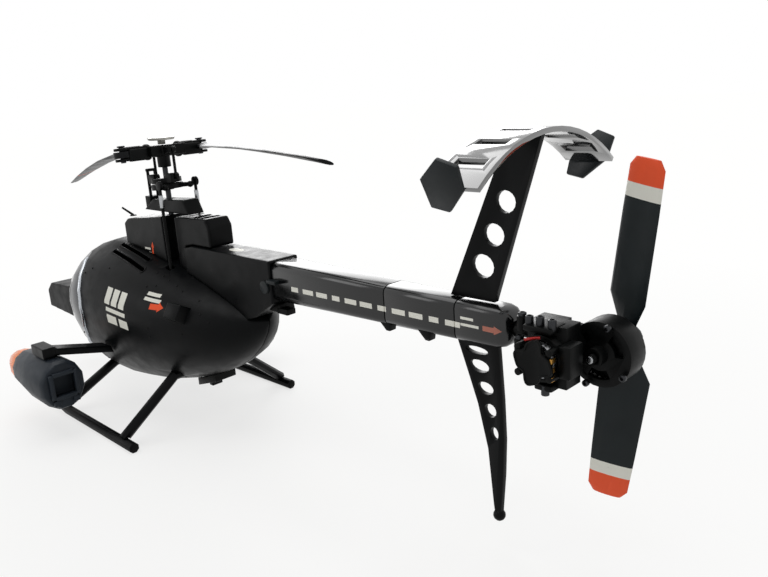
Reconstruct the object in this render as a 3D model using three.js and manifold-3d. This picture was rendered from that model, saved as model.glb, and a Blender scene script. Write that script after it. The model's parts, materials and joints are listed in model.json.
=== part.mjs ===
// Remote control helicopter, as an assembly of separate pieces, in millimetres.
// X points to the left (port) side, Y to the tail and Z up. Z = 0 is the ground under the skids.

import * as THREE from 'three';
import { mergeVertices } from 'three/addons/utils/BufferGeometryUtils.js';
import Module from 'manifold-3d';

const wasm = await Module();
wasm.setup();

// ---------------------------------------------------------------- driving dimensions

const clearance = 0.3; // between pieces that touch
const wall = 1.2; // of the moulded covers

const body = {
  nose: -73, tail: 61.5, widest: -25.5, halfWidth: 25.8,
  top: 68.4, bottom: 9.9, noseHeight: 29, middleHeight: 44, tailHeight: 47,
};
// How round each outline of the body is: [power, root] of the curve that fullness() draws.
const roundness = { nose: [2, 1.75], roof: [1.4, 1.57], flank: [3.1, 1.5], belly: [1.55, 1.66] };
const bellyBlock = { front: 17, rear: 30, drop: 2.6, halfWidth: 4.5 };
const canopySeam = { bottom: -44, top: -50 }; // Y of the joint at the belly and at the roof
const mast = { y: 6, radius: 1, foot: 27.5 };
const head = { height: 103.8, tilt: 4.5, boltRadius: 16, linkRadius: 7.2, foldAngle: 104.5 };
const swash = { height: head.height - 12.5, radius: 5.8, ballRadius: 3.1, rodX: 7.4, rodY: 7.5, linkRise: 2.9 };
const blade = {
  length: 107, chord: 11, thickness: 1.2, droop: 8.5, pitch: 1, twist: 20, rootRadius: 3,
};
const cowling = { front: -20, seam: 9.8, rearStart: 16, rear: 38.5, halfWidth: 6.6, rearHalfWidth: 5 };
const cowlingTop = { front: 77.5, seam: 80.2, rear: 81 };
const hump = { front: -8, rear: 24, top: head.height - 17.2, halfWidth: 3.4 };
const boomEnd = 163; // Y of the round end, which everything on the tail is placed from
const boom = {
  start: 73, frontSeam: boomEnd - 41, rearSeam: boomEnd - 16.5, end: boomEnd, axis: 63.7, wall: 0.9,
  startHalfWidth: 5.5, endHalfWidth: 4, startHalfHeight: 6.5, endHalfHeight: 5,
};
const fairing = { front: 22, halfWidth: 6, top: 70.6, heel: 62, heelHeight: 50 };
const fin = { thickness: 1.5, upperTop: 110, chord: 13.9, rootFront: boomEnd - 20.1 };
const ball = { y: boomEnd - 6.9, height: 10, radius: 1.7 };
const stabilizer = {
  radius: 43, top: 111.5, halfSpan: 27.1, front: boomEnd - 3, rear: boomEnd + 9.9, thickness: 1.2,
};
const endPlate = { cant: 25.5, thickness: 1.1 };
const tailDrive = {
  axisY: boomEnd + 21.4, axisZ: 61.4, slope: -4, motorRadius: 4.2, motorLength: 16, ringRadius: 7.7,
};
const tailRotor = {
  x: -12.8, radius: 42.4, lean: 7.4, rootChord: 11.6, tipChord: 9.8, pitch: 18, offset: -1.2,
};
const tailGear = { teeth: 32, module: 0.4, width: 3 };
const tailPinion = { teeth: 8, module: tailGear.module };
const mainGear = { teeth: 48, module: 0.6, height: 46, width: 2.5 };
const mainPinion = { teeth: 8, module: mainGear.module };
const mainMotor = { radius: 6, length: 15 };
const tray = { bottom: 24.1, thickness: 1.5, halfWidth: 11, front: -45, rear: 27, taper: 10 };
const skid = { track: 72.4, radius: 1.85, rear: 21.8, bend: -33, tip: -41, rise: 5 };
const strut = { radius: 1.8, rearY: 14.7, frontY: -35 };
const pylon = { y: -16, rootX: 19, rootZ: 28, tipX: 45.5, tipZ: 34.2, width: 7, thickness: 2.8 };
const podRadius = 9.4;
const pod = {
  rear: -8, length: 32, radius: podRadius, slim: 0.88, axisZ: pylon.tipZ - 2.8 - podRadius, noseLength: 13,
};
const sensor = { front: -101, halfWidth: 11, top: 41, bottom: 27 };

// ---------------------------------------------------------------- solids

function solid(geometry) {
  const bare = geometry.clone();
  bare.deleteAttribute('normal');
  bare.deleteAttribute('uv');
  const merged = mergeVertices(bare);
  return new wasm.Manifold(new wasm.Mesh({
    numProp: 3,
    vertProperties: new Float32Array(merged.attributes.position.array),
    triVerts: new Uint32Array(merged.index.array),
  }));
}

function geometryOf(shape) {
  const mesh = shape.getMesh();
  const geometry = new THREE.BufferGeometry();
  geometry.setAttribute('position', new THREE.BufferAttribute(mesh.vertProperties, 3));
  geometry.setIndex(new THREE.BufferAttribute(mesh.triVerts, 1));
  return geometry;
}

const join = (...shapes) => shapes.reduce((all, shape) => all.add(shape));

function block([x0, x1], [y0, y1], [z0, z1]) {
  const box = new THREE.BoxGeometry(x1 - x0, y1 - y0, z1 - z0);
  return solid(box.translate((x0 + x1) / 2, (y0 + y1) / 2, (z0 + z1) / 2));
}

// A round bar, or a cone where the two radii differ.
function rod(from, to, radius, endRadius = radius, sides = 16) {
  const start = new THREE.Vector3(...from);
  const end = new THREE.Vector3(...to);
  const along = end.clone().sub(start);
  const cylinder = new THREE.CylinderGeometry(endRadius, radius, along.length(), sides);
  const turn = new THREE.Quaternion().setFromUnitVectors(new THREE.Vector3(0, 1, 0), along.normalize());
  const middle = start.add(end).multiplyScalar(0.5);
  return solid(cylinder.applyQuaternion(turn).translate(middle.x, middle.y, middle.z));
}

const ballAt = ([x, y, z], radius) => solid(new THREE.SphereGeometry(radius, 12, 8).translate(x, y, z));

// A closed skin through rings of equally many points, with a flat end on the first and the last.
function loft(rings) {
  const count = rings[0].length;
  const centre = (ring) => ring.reduce((sum, point) => sum.add(point), new THREE.Vector3())
    .divideScalar(count);
  const points = [...rings.flat(), centre(rings[0]), centre(rings.at(-1))];
  const foot = rings.length * count;
  const last = foot - count;
  const index = [];
  for (let ring = 0; ring < rings.length - 1; ring += 1) {
    for (let j = 0; j < count; j += 1) {
      const a = ring * count + j;
      const b = ring * count + (j + 1) % count;
      index.push(a, a + count, b, b, a + count, b + count);
    }
  }
  for (let j = 0; j < count; j += 1) {
    const next = (j + 1) % count;
    index.push(foot, j, next, foot + 1, last + next, last + j);
  }
  const skin = (order) => solid(new THREE.BufferGeometry().setFromPoints(points).setIndex(order));
  const shape = skin(index);
  return shape.volume() > 0 ? shape : skin(index.toReversed());
}

// A round tube through points, with a section of `sides` flats whose lowest flat is level.
function tube(points, radius, sides = 8) {
  const path = points.map((point) => new THREE.Vector3(...point));
  const corner = radius / Math.cos(Math.PI / sides);
  const rings = path.map((point, i) => {
    const ahead = path[Math.min(i + 1, path.length - 1)].clone().sub(path[Math.max(i - 1, 0)]).normalize();
    const side = new THREE.Vector3(0, 0, 1).cross(ahead);
    if (side.length() < 0.1) side.set(1, 0, 0);
    side.normalize();
    const up = ahead.clone().cross(side);
    return Array.from({ length: sides }, (_, j) => {
      const angle = (j + 0.5) * 2 * Math.PI / sides;
      return point.clone()
        .addScaledVector(side, corner * Math.cos(angle))
        .addScaledVector(up, corner * Math.sin(angle));
    });
  });
  return loft(rings);
}

// Plates: an outline, with oval holes [a, b, radiusA, radiusB], pushed along one axis.
function plate(outline, [low, high], axis, holes = []) {
  const shape = new THREE.Shape(outline.map(([a, b]) => new THREE.Vector2(a, b)));
  for (const [a, b, radiusA, radiusB] of holes) {
    const hole = new THREE.Path();
    hole.absellipse(a, b, radiusA, radiusB, 0, 2 * Math.PI);
    shape.holes.push(hole);
  }
  const pushed = new THREE.ExtrudeGeometry(shape, {
    depth: high - low, bevelEnabled: false, curveSegments: 8,
  });
  const place = {
    x: new THREE.Matrix4().set(0, 0, 1, low, 1, 0, 0, 0, 0, 1, 0, 0, 0, 0, 0, 1),
    y: new THREE.Matrix4().set(1, 0, 0, 0, 0, 0, -1, high, 0, 1, 0, 0, 0, 0, 0, 1),
    z: new THREE.Matrix4().makeTranslation(0, 0, low),
  };
  return solid(pushed.applyMatrix4(place[axis]));
}

function circle(radius, count, centre = [0, 0]) {
  return Array.from({ length: count }, (_, i) => {
    const angle = i * 2 * Math.PI / count;
    return [centre[0] + radius * Math.cos(angle), centre[1] + radius * Math.sin(angle)];
  });
}

// The outline of a spur gear. Its teeth are thinned a little, for play.
function gearOutline({ teeth, module }, phase, centre = [0, 0]) {
  const pitch = teeth * module / 2;
  const points = [];
  for (let tooth = 0; tooth < teeth; tooth += 1) {
    const steps = [[-0.3, -1.05], [-0.13, 0.75], [0.13, 0.75], [0.3, -1.05]];
    for (const [turn, height] of steps) {
      const angle = (tooth + turn + phase) * 2 * Math.PI / teeth;
      const radius = pitch + height * module;
      points.push([centre[0] + radius * Math.cos(angle), centre[1] + radius * Math.sin(angle)]);
    }
  }
  return points;
}

const pitchRadius = ({ teeth, module }) => teeth * module / 2;

// ---------------------------------------------------------------- scene graph

const model = new THREE.Group();
const finishes = {
  black: { color: 0x17181a, roughness: 0.42, metalness: 0 },
  satin: { color: 0x202124, roughness: 0.55, metalness: 0 },
  slate: { color: 0x4b525c, roughness: 0.6, metalness: 0 },
  clear: { color: 0x2b3640, roughness: 0.1, metalness: 0, transparent: true, opacity: 0.5 },
  orange: { color: 0xd9531e, roughness: 0.35, metalness: 0 },
  white: { color: 0xe8e6df, roughness: 0.5, metalness: 0 },
  green: { color: 0x1f5a35, roughness: 0.5, metalness: 0 },
  battery: { color: 0x3a4a7a, roughness: 0.5, metalness: 0 },
  steel: { color: 0xb8bcc0, roughness: 0.3, metalness: 1 },
};

function add(name, shape, finish, parent = model) {
  const mesh = new THREE.Mesh(geometryOf(shape), new THREE.MeshStandardMaterial(finishes[finish]));
  mesh.name = name;
  parent.add(mesh);
}

const degrees = (angle) => angle * Math.PI / 180;
const sides = [['left', 1], ['right', -1]];
const mirrored = (shape, side) => (side > 0 ? shape : shape.scale([-1, 1, 1]));

// ---------------------------------------------------------------- body

const widestShare = (body.widest - body.nose) / (body.tail - body.nose);

// How full an outline is at a share of the body's length: 1 at the widest place, 0 at both ends.
function fullness(share, rearRoundness) {
  const ahead = share < widestShare;
  const away = ahead ? 1 - share / widestShare : (share - widestShare) / (1 - widestShare);
  const [power, root] = ahead ? roundness.nose : rearRoundness;
  return Math.max((1 - away ** power) ** (1 / root), 0.02);
}

// The egg-shaped skin, moved outwards by `grow`.
function bodySkin(grow = 0) {
  const stations = 16;
  const rings = [];
  for (let i = 0; i <= stations; i += 1) {
    const share = (1 - Math.cos(Math.PI * i / stations)) / 2;
    const y = THREE.MathUtils.lerp(body.nose - grow, body.tail + grow, share);
    const flank = fullness(share, roundness.flank);
    const line = THREE.MathUtils.lerp(body.noseHeight, body.tailHeight, share);
    const middle = THREE.MathUtils.lerp(line, body.middleHeight, flank);
    const roof = (body.top - body.middleHeight + grow) * fullness(share, roundness.roof);
    const belly = (body.middleHeight - body.bottom + grow) * fullness(share, roundness.belly);
    rings.push(circle(1, 24).map(([across, up]) => new THREE.Vector3(
      (body.halfWidth + grow) * flank * across, y, middle + up * (up > 0 ? roof : belly))));
  }
  return loft(rings);
}

// The height of the belly on the centre line.
function bellyHeight(y) {
  const share = (y - body.nose) / (body.tail - body.nose);
  const line = THREE.MathUtils.lerp(body.noseHeight, body.tailHeight, share);
  const middle = THREE.MathUtils.lerp(line, body.middleHeight, fullness(share, roundness.flank));
  return middle - (body.middleHeight - body.bottom) * fullness(share, roundness.belly);
}

const skin = bodySkin();
const around = bodySkin(clearance);
const inside = bodySkin(-wall);

// Everything in front of the canopy's slanted joint, moved back by `shift`.
function frontOfSeam(shift) {
  const [low, high] = [body.bottom - 5, body.top + 5];
  const outline = [
    [body.nose - 5, low], [canopySeam.bottom + shift, low],
    [canopySeam.top + shift, high], [body.nose - 5, high],
  ];
  return plate(outline, [-body.halfWidth - 5, body.halfWidth + 5], 'x');
}

// A skid tube, curled up at its front end.
function skidTube(side, radius = skid.radius) {
  const x = side * skid.track / 2;
  const curl = [0, 0.35, 0.7, 1].map((share) => [
    x,
    skid.bend + (skid.tip - skid.bend) * Math.sin(share * Math.PI / 2),
    skid.radius + skid.rise * (1 - Math.cos(share * Math.PI / 2)),
  ]);
  return tube([[x, skid.rear, skid.radius], ...curl], radius);
}

// Struts: a bent cross tube from skid to skid, through the belly, saddled on the skids.
function crossTube(y, crown, radius) {
  const outer = skid.track / 2;
  const shoe = 2 * skid.radius;
  const left = [[outer, y, shoe], [crown.x, crown.y, crown.z]];
  const right = [[-crown.x, crown.y, crown.z], [-outer, y, shoe]];
  return tube([...left, ...right], radius)
    .subtract(skidTube(1, skid.radius + clearance))
    .subtract(skidTube(-1, skid.radius + clearance));
}

const crowns = {
  front: { x: 14, y: -32, z: 16.5 },
  rear: { x: 14.5, y: 18, z: tray.bottom - clearance - strut.radius },
};
const crossTubes = {
  front: (radius) => crossTube(strut.frontY, crowns.front, radius),
  rear: (radius) => crossTube(strut.rearY, crowns.rear, radius),
};

function addBody() {
  const rodSlots = sides.map(([, side]) => block(
    [side * swash.rodX - 1.6, side * swash.rodX + 1.6],
    [mast.y + swash.rodY - 1.8, mast.y + swash.rodY + 1.8],
    [body.top - 14, body.top + 2],
  ));
  const mastHole = rod([0, mast.y, body.top - 14], [0, mast.y, body.top + 2], mast.radius + 2);
  const strutHoles = [crossTubes.front, crossTubes.rear].map((make) => make(strut.radius + clearance));
  const hollow = skin.subtract(inside);
  const shell = [mastHole, ...rodSlots, ...strutHoles, frontOfSeam(clearance)]
    .reduce((rest, cut) => rest.subtract(cut), hollow);
  const room = [[body.nose, body.tail + 1], [0, body.top + 5]];
  add('fuselage_left_shell', shell.intersect(block([clearance / 2, 40], ...room)), 'black');
  add('fuselage_right_shell', shell.intersect(block([-40, -clearance / 2], ...room)), 'black');
  add('nose_canopy', hollow.intersect(frontOfSeam(0)), 'clear');

  const nose = [
    [sensor.front, sensor.bottom + 2], [sensor.front, sensor.top - 4], [sensor.front + 5, sensor.top],
    [body.nose + 14, sensor.top + 2], [body.nose + 14, sensor.bottom],
  ];
  const box = plate(nose, [-sensor.halfWidth, sensor.halfWidth], 'x');
  add('nose_sensor_housing', box.subtract(around), 'satin');

  const { front, rear, drop, halfWidth } = bellyBlock;
  const low = bellyHeight(front) - drop;
  const bellyOutline = [
    [front, low], [rear, bellyHeight(rear) - drop], [rear, bellyHeight(rear) + 4], [front, low + 8],
  ];
  const slot = block([-2.5, 2.5], [front + 3.8, front + 8.2], [low - 2, low + 3.2]);
  const belly = plate(bellyOutline, [-halfWidth, halfWidth], 'x').subtract(around).subtract(slot);
  add('belly_block', belly, 'black');
  const knobY = front + 4 + clearance;
  const knob = block([-2.2, 2.2], [knobY, knobY + 2.2], [low + 0.4, low + 3.2 - clearance]);
  add('power_switch', knob, 'satin');
}

function addChassis() {
  const top = tray.bottom + tray.thickness;
  const bearing = { half: 3.6, top: 32 };
  const bore = rod([0, mast.y, 20], [0, mast.y, body.top - 2], mast.radius + clearance);
  const column = { front: mast.y + 17, rear: mast.y + 20, halfWidth: 2.9, top: mainGear.height + 8 };
  const motorY = mast.y - pitchRadius(mainGear) - pitchRadius(mainPinion) - clearance;
  const motorTop = mainGear.height - 2;
  const motorFoot = motorTop - mainMotor.length;
  const edge = [[tray.halfWidth, tray.front], [tray.halfWidth, tray.rear - tray.taper], [5, tray.rear]];
  const floor = [...edge, ...edge.toReversed().map(([x, y]) => [-x, y])];
  const frame = join(
    plate(floor, [tray.bottom, top], 'z'),
    block([-bearing.half, bearing.half], [mast.y - 4, mast.y + 4], [top - 0.1, bearing.top]),
    block([-column.halfWidth, column.halfWidth], [column.front, column.rear], [top - 0.1, column.top]),
    block([-column.halfWidth, column.halfWidth], [mast.y - 3, column.rear], [column.top - 2.5, column.top]),
    block([-5, 5], [motorY - 5, motorY + 5], [top - 0.1, motorFoot - clearance]),
  );
  add('chassis_frame', frame.subtract(bore), 'satin');

  const motor = join(
    rod([0, motorY, motorFoot], [0, motorY, motorTop], mainMotor.radius),
    rod([0, motorY, motorTop - 0.1], [0, motorY, motorTop + 0.7], 2.5),
  );
  add('main_motor', motor, 'steel');
  const shaftTop = mainGear.height + mainGear.width + 1.5;
  const pinion = join(
    plate(gearOutline(mainPinion, 0.5), [mainGear.height - 0.5, shaftTop - 0.5], 'z'),
    rod([0, 0, motorTop + 1], [0, 0, shaftTop], 0.8),
  );
  const pinionPlace = new THREE.Group();
  pinionPlace.position.set(0, motorY, 0);
  pinionPlace.rotation.z = Math.PI / 2;
  model.add(pinionPlace);
  add('main_pinion', pinion, 'steel', pinionPlace);

  const shaft = rod([0, mast.y, mast.foot], [0, mast.y, head.height - 1], mast.radius);
  add('mast', shaft, 'steel');
  const gear = join(
    plate(gearOutline(mainGear, 0), [mainGear.height, mainGear.height + mainGear.width], 'z'),
    rod([0, 0, mainGear.height - 3], [0, 0, mainGear.height + 4.8], 3.2),
  ).subtract(rod([0, 0, mainGear.height - 4], [0, 0, mainGear.height + 6], mast.radius + clearance));
  const gearPlace = new THREE.Group();
  gearPlace.position.set(0, mast.y, 0);
  gearPlace.rotation.z = Math.PI / 2;
  model.add(gearPlace);
  add('main_gear', gear, 'white', gearPlace);

  const pack = { front: tray.front + 1, rear: motorY - mainMotor.radius - 3, top: top + 17 };
  const cell = block([-9, 9], [pack.front, pack.rear], [top + clearance, pack.top]);
  add('battery_pack', cell, 'battery');
  const boardFoot = pack.top + clearance;
  const board = block([-9, 9], [pack.front + 1, pack.rear], [boardFoot, boardFoot + 1.6]);
  add('control_board', board, 'green');

  const servo = { inner: column.halfWidth + clearance, outer: swash.rodX - 0.8 - clearance };
  const rodY = mast.y + swash.rodY;
  for (const [name, side] of sides) {
    const shape = block(
      [servo.inner, servo.outer], [rodY - 4, rodY + 4], [column.top - 2.5, column.top + 3.5],
    );
    add(`servo_${name}`, mirrored(shape, side), 'satin');
    const slider = block([swash.rodX - 0.8, swash.rodX + 0.8], [rodY - 1.5, rodY + 1.5],
      [column.top - 2.5, column.top + 0.5]);
    const wire = rod([swash.rodX, rodY, column.top], [swash.rodX, rodY, swash.height - 1], 0.6, 0.6, 8);
    const eye = rod([swash.rodX - 0.6, rodY, swash.height + 0.6],
      [swash.rodX + 0.6, rodY, swash.height + 0.6], 1.7, 1.7, 12);
    add(`servo_rod_${name}`, mirrored(join(slider, wire, eye), side), 'steel');
  }
}

function addCowling() {
  const floor = body.top - 18;
  const mastBore = rod([0, mast.y, floor], [0, mast.y, hump.top + 2], mast.radius + 0.8);
  const top = cowlingTop;
  const frontOutline = [
    [cowling.front, floor], [cowling.front, top.front - 2], [cowling.front + 3, top.front],
    [cowling.seam, top.seam], [cowling.seam, floor],
  ];
  const frontRoom = [
    [cowling.front + wall, floor - 1], [cowling.front + wall, top.front - 3],
    [cowling.seam - wall, top.seam - wall - 1], [cowling.seam - wall, floor - 1],
  ];
  const front = plate(frontOutline, [-cowling.halfWidth, cowling.halfWidth], 'x')
    .subtract(plate(frontRoom, [wall - cowling.halfWidth, cowling.halfWidth - wall], 'x'));
  add('cowling_front', front.subtract(around).subtract(mastBore), 'black');

  const rearOutline = [
    [cowling.rearStart, floor], [cowling.rearStart, top.seam], [cowling.rear - 2, top.rear],
    [cowling.rear, top.rear - 3], [cowling.rear, floor],
  ];
  const half = cowling.rearHalfWidth;
  const louvre = (y) => block([-half + 1.5, half - 1.5], [y, y + 2.4], [top.rear - 4, top.rear + 2]);
  const rearRoom = block([wall - half, half - wall], [cowling.rearStart + wall, cowling.rear - wall],
    [floor - 1, top.seam - wall - 0.6]);
  const rear = plate(rearOutline, [-half, half], 'x').subtract(rearRoom)
    .subtract(louvre(cowling.rear - 12)).subtract(louvre(cowling.rear - 7)).subtract(fairingShape(clearance));
  add('cowling_rear', rear.subtract(around), 'black');

  const seat = top.rear + clearance;
  const humpOutline = [
    [hump.front, seat], [hump.front + 7, hump.top - 1], [hump.rear - 3, hump.top], [hump.rear, seat],
  ];
  const humpShape = plate(humpOutline, [-hump.halfWidth, hump.halfWidth], 'x').subtract(mastBore);
  add('mast_housing', humpShape, 'black');

  const aerialFoot = [3.5, cowling.front + 2.4, top.front + clearance + 0.6];
  const aerial = join(
    rod([3.5, cowling.front + 2.4, top.front + clearance + 0.3], aerialFoot, 1.4, 1.2, 10),
    rod(aerialFoot, [6, cowling.front - 1, top.front + 4], 0.5, 0.4, 8),
  );
  add('whip_antenna', aerial, 'satin');
}

// ---------------------------------------------------------------- boom and tail

function boomHalf(y) {
  const share = (y - boom.start) / (boom.end - boom.start);
  return [
    THREE.MathUtils.lerp(boom.startHalfWidth, boom.endHalfWidth, share),
    THREE.MathUtils.lerp(boom.startHalfHeight, boom.endHalfHeight, share),
  ];
}

const boomTop = (y) => boom.axis + boomHalf(y)[1];
const boomBottom = (y) => boom.axis - boomHalf(y)[1];

// A ring of the boom's rounded section at Y, made smaller by `inset` and scaled by `scale`.
function boomRing(y, inset, scale = 1) {
  const [halfWidth, halfHeight] = boomHalf(y);
  const corner = 0.45 * halfWidth;
  const ring = [];
  for (const [sx, sz, start] of [[1, 1, 0], [-1, 1, 90], [-1, -1, 180], [1, -1, 270]]) {
    for (const turn of [0, 30, 60, 90]) {
      const angle = degrees(start + turn);
      ring.push(new THREE.Vector3(
        scale * (sx * (halfWidth - corner) + (corner - inset) * Math.cos(angle)),
        y,
        boom.axis + scale * (sz * (halfHeight - corner) + (corner - inset) * Math.sin(angle)),
      ));
    }
  }
  return ring;
}

const boomTube = (y0, y1) => loft([boomRing(y0, 0), boomRing(y1, 0)])
  .subtract(loft([boomRing(y0 - 1, boom.wall), boomRing(y1 + 1, boom.wall)]));

function fairingShape(grow = 0) {
  const outline = [
    [fairing.front - grow, body.top - 20], [fairing.front - grow, fairing.top - 1 + grow],
    [fairing.front + 5, fairing.top + grow], [boom.start - clearance, fairing.top + grow],
    [boom.start - clearance, boom.axis - boom.startHalfHeight - 0.7],
    [fairing.heel, fairing.heelHeight], [fairing.heel - 14, fairing.heelHeight - 5],
  ];
  return plate(outline, [-fairing.halfWidth - grow, fairing.halfWidth + grow], 'x');
}

function addBoom() {
  const room = [
    [fairing.front + wall, body.top - 25], [fairing.front + wall, fairing.top - wall - 1],
    [boom.start - 2, fairing.top - wall - 0.5], [boom.start - 2, boom.axis - boom.startHalfHeight + 1],
    [fairing.heel - 2, fairing.heelHeight + 2.5], [fairing.heel - 16, fairing.heelHeight - 12],
  ];
  const half = fairing.halfWidth - wall;
  const cover = fairingShape().subtract(plate(room, [-half, half], 'x')).subtract(around);
  add('boom_fairing', cover, 'black');
  add('tail_boom_front', boomTube(boom.start, boom.frontSeam), 'black');
  add('tail_boom_rear', boomTube(boom.frontSeam + clearance, boom.rearSeam), 'black');

  const domed = [0, 30, 50, 68, 80].map((turn) => {
    const y = boom.end - 4 + 4 * Math.sin(degrees(turn));
    return boomRing(y, 0, Math.cos(degrees(turn)) ** 0.7);
  });
  const end = loft([boomRing(boom.rearSeam + clearance, 0), ...domed])
    .subtract(loft([boomRing(boom.rearSeam - 1, boom.wall), boomRing(boom.end - 5, boom.wall)]))
    .subtract(rod([0, boom.rearSeam, boom.axis], [0, boom.end + 2, boom.axis], 1.8 + clearance));
  add('tail_cone', end, 'black');
}

function addFins() {
  const half = fin.thickness / 2;
  const foot = boomTop(fin.rootFront) + clearance;
  const lean = [0.457, 0.337]; // how far the front and rear edges go back for each unit up
  const rise = fin.upperTop - foot;
  const upper = [
    [fin.rootFront, foot], [fin.rootFront + fin.chord, foot],
    [fin.rootFront + fin.chord + lean[1] * rise, fin.upperTop],
    [fin.rootFront + lean[0] * rise, fin.upperTop],
  ];
  const upperHoles = [[3.1, 8.8, 3.4, 3], [6.6, 16.9, 3.1, 2.8], [10.2, 25.1, 2.9, 2.7]].map(
    ([back, up, radiusY, radiusZ]) => [fin.rootFront + 7.4 + back, foot + up, radiusY, radiusZ],
  );
  add('upper_fin', plate(upper, [-half, half], 'x', upperHoles), 'black');

  const root = boomBottom(fin.rootFront + fin.chord) - clearance;
  const reach = root - ball.height;
  const front = [[1.5, 0], [4.8, 9], [7.7, 17.2], [10.6, 29.3], [12, reach - 3], [12.4, reach]];
  const rear = [[14, reach], [15.2, 35.9], [15.7, 25.7], [15.4, 14.7], [14.5, 0]];
  const lower = [...front, ...rear].map(([back, down]) => [fin.rootFront + back, root - down]);
  const lowerHoles = [
    [7.8, 2.6, 3.6, 1], [8.4, 6.8, 3.2, 1.7], [10.2, 12.5, 2.6, 1.7], [11.6, 18.4, 1.9, 1.9],
    [12.7, 24.6, 1.3, 1.9],
  ].map(([back, down, radiusY, radiusZ]) => [fin.rootFront + back, root - down, radiusY, radiusZ]);
  const lowerPlate = plate(lower, [-half, half], 'x', lowerHoles);
  add('lower_fin', lowerPlate.add(ballAt([0, ball.y, ball.height], ball.radius)), 'black');

  const centre = stabilizer.top - stabilizer.radius;
  const sweep = Math.asin(stabilizer.halfSpan / stabilizer.radius);
  const arc = (radius, order) => Array.from({ length: 17 }, (_, i) => {
    const angle = order * sweep * (i / 8 - 1);
    return [radius * Math.sin(angle), centre + radius * Math.cos(angle)];
  });
  const strip = [...arc(stabilizer.radius, 1), ...arc(stabilizer.radius - stabilizer.thickness, -1)];
  const curved = plate(strip, [stabilizer.front, stabilizer.rear], 'y');
  const slots = [-0.75, -0.45, -0.15, 0.15, 0.45, 0.75].map((share) => {
    const x = stabilizer.radius * Math.sin(share * sweep);
    return block(
      [x - 1.4, x + 1.4], [stabilizer.front + 2.4, stabilizer.rear - 2.4], [centre, stabilizer.top + 1],
    );
  });
  add('stabilizer', slots.reduce((rest, cut) => rest.subtract(cut), curved), 'black');

  const tipHeight = centre + stabilizer.radius * Math.cos(sweep);
  for (const [name, side] of sides) {
    const outline = [
      [stabilizer.front + 0.4, -5], [stabilizer.front + 0.2, 2], [stabilizer.front + 6.3, 6.9],
      [stabilizer.rear - 1.8, 5.2], [stabilizer.rear - 2.4, -0.6], [stabilizer.front + 5.1, -5.9],
    ];
    const place = new THREE.Group();
    place.position.set(side * (stabilizer.halfSpan + 1.4), 0, tipHeight);
    place.rotation.y = degrees(side * endPlate.cant);
    model.add(place);
    const half = endPlate.thickness / 2;
    add(`endplate_${name}`, plate(outline, [-half, half], 'x'), 'satin', place);
  }
}

const tailCentres = pitchRadius(tailGear) + pitchRadius(tailPinion) + clearance;
const tailMotor = {
  y: tailDrive.axisY - tailCentres * Math.cos(degrees(tailDrive.slope)),
  z: tailDrive.axisZ - tailCentres * Math.sin(degrees(tailDrive.slope)),
};

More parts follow.
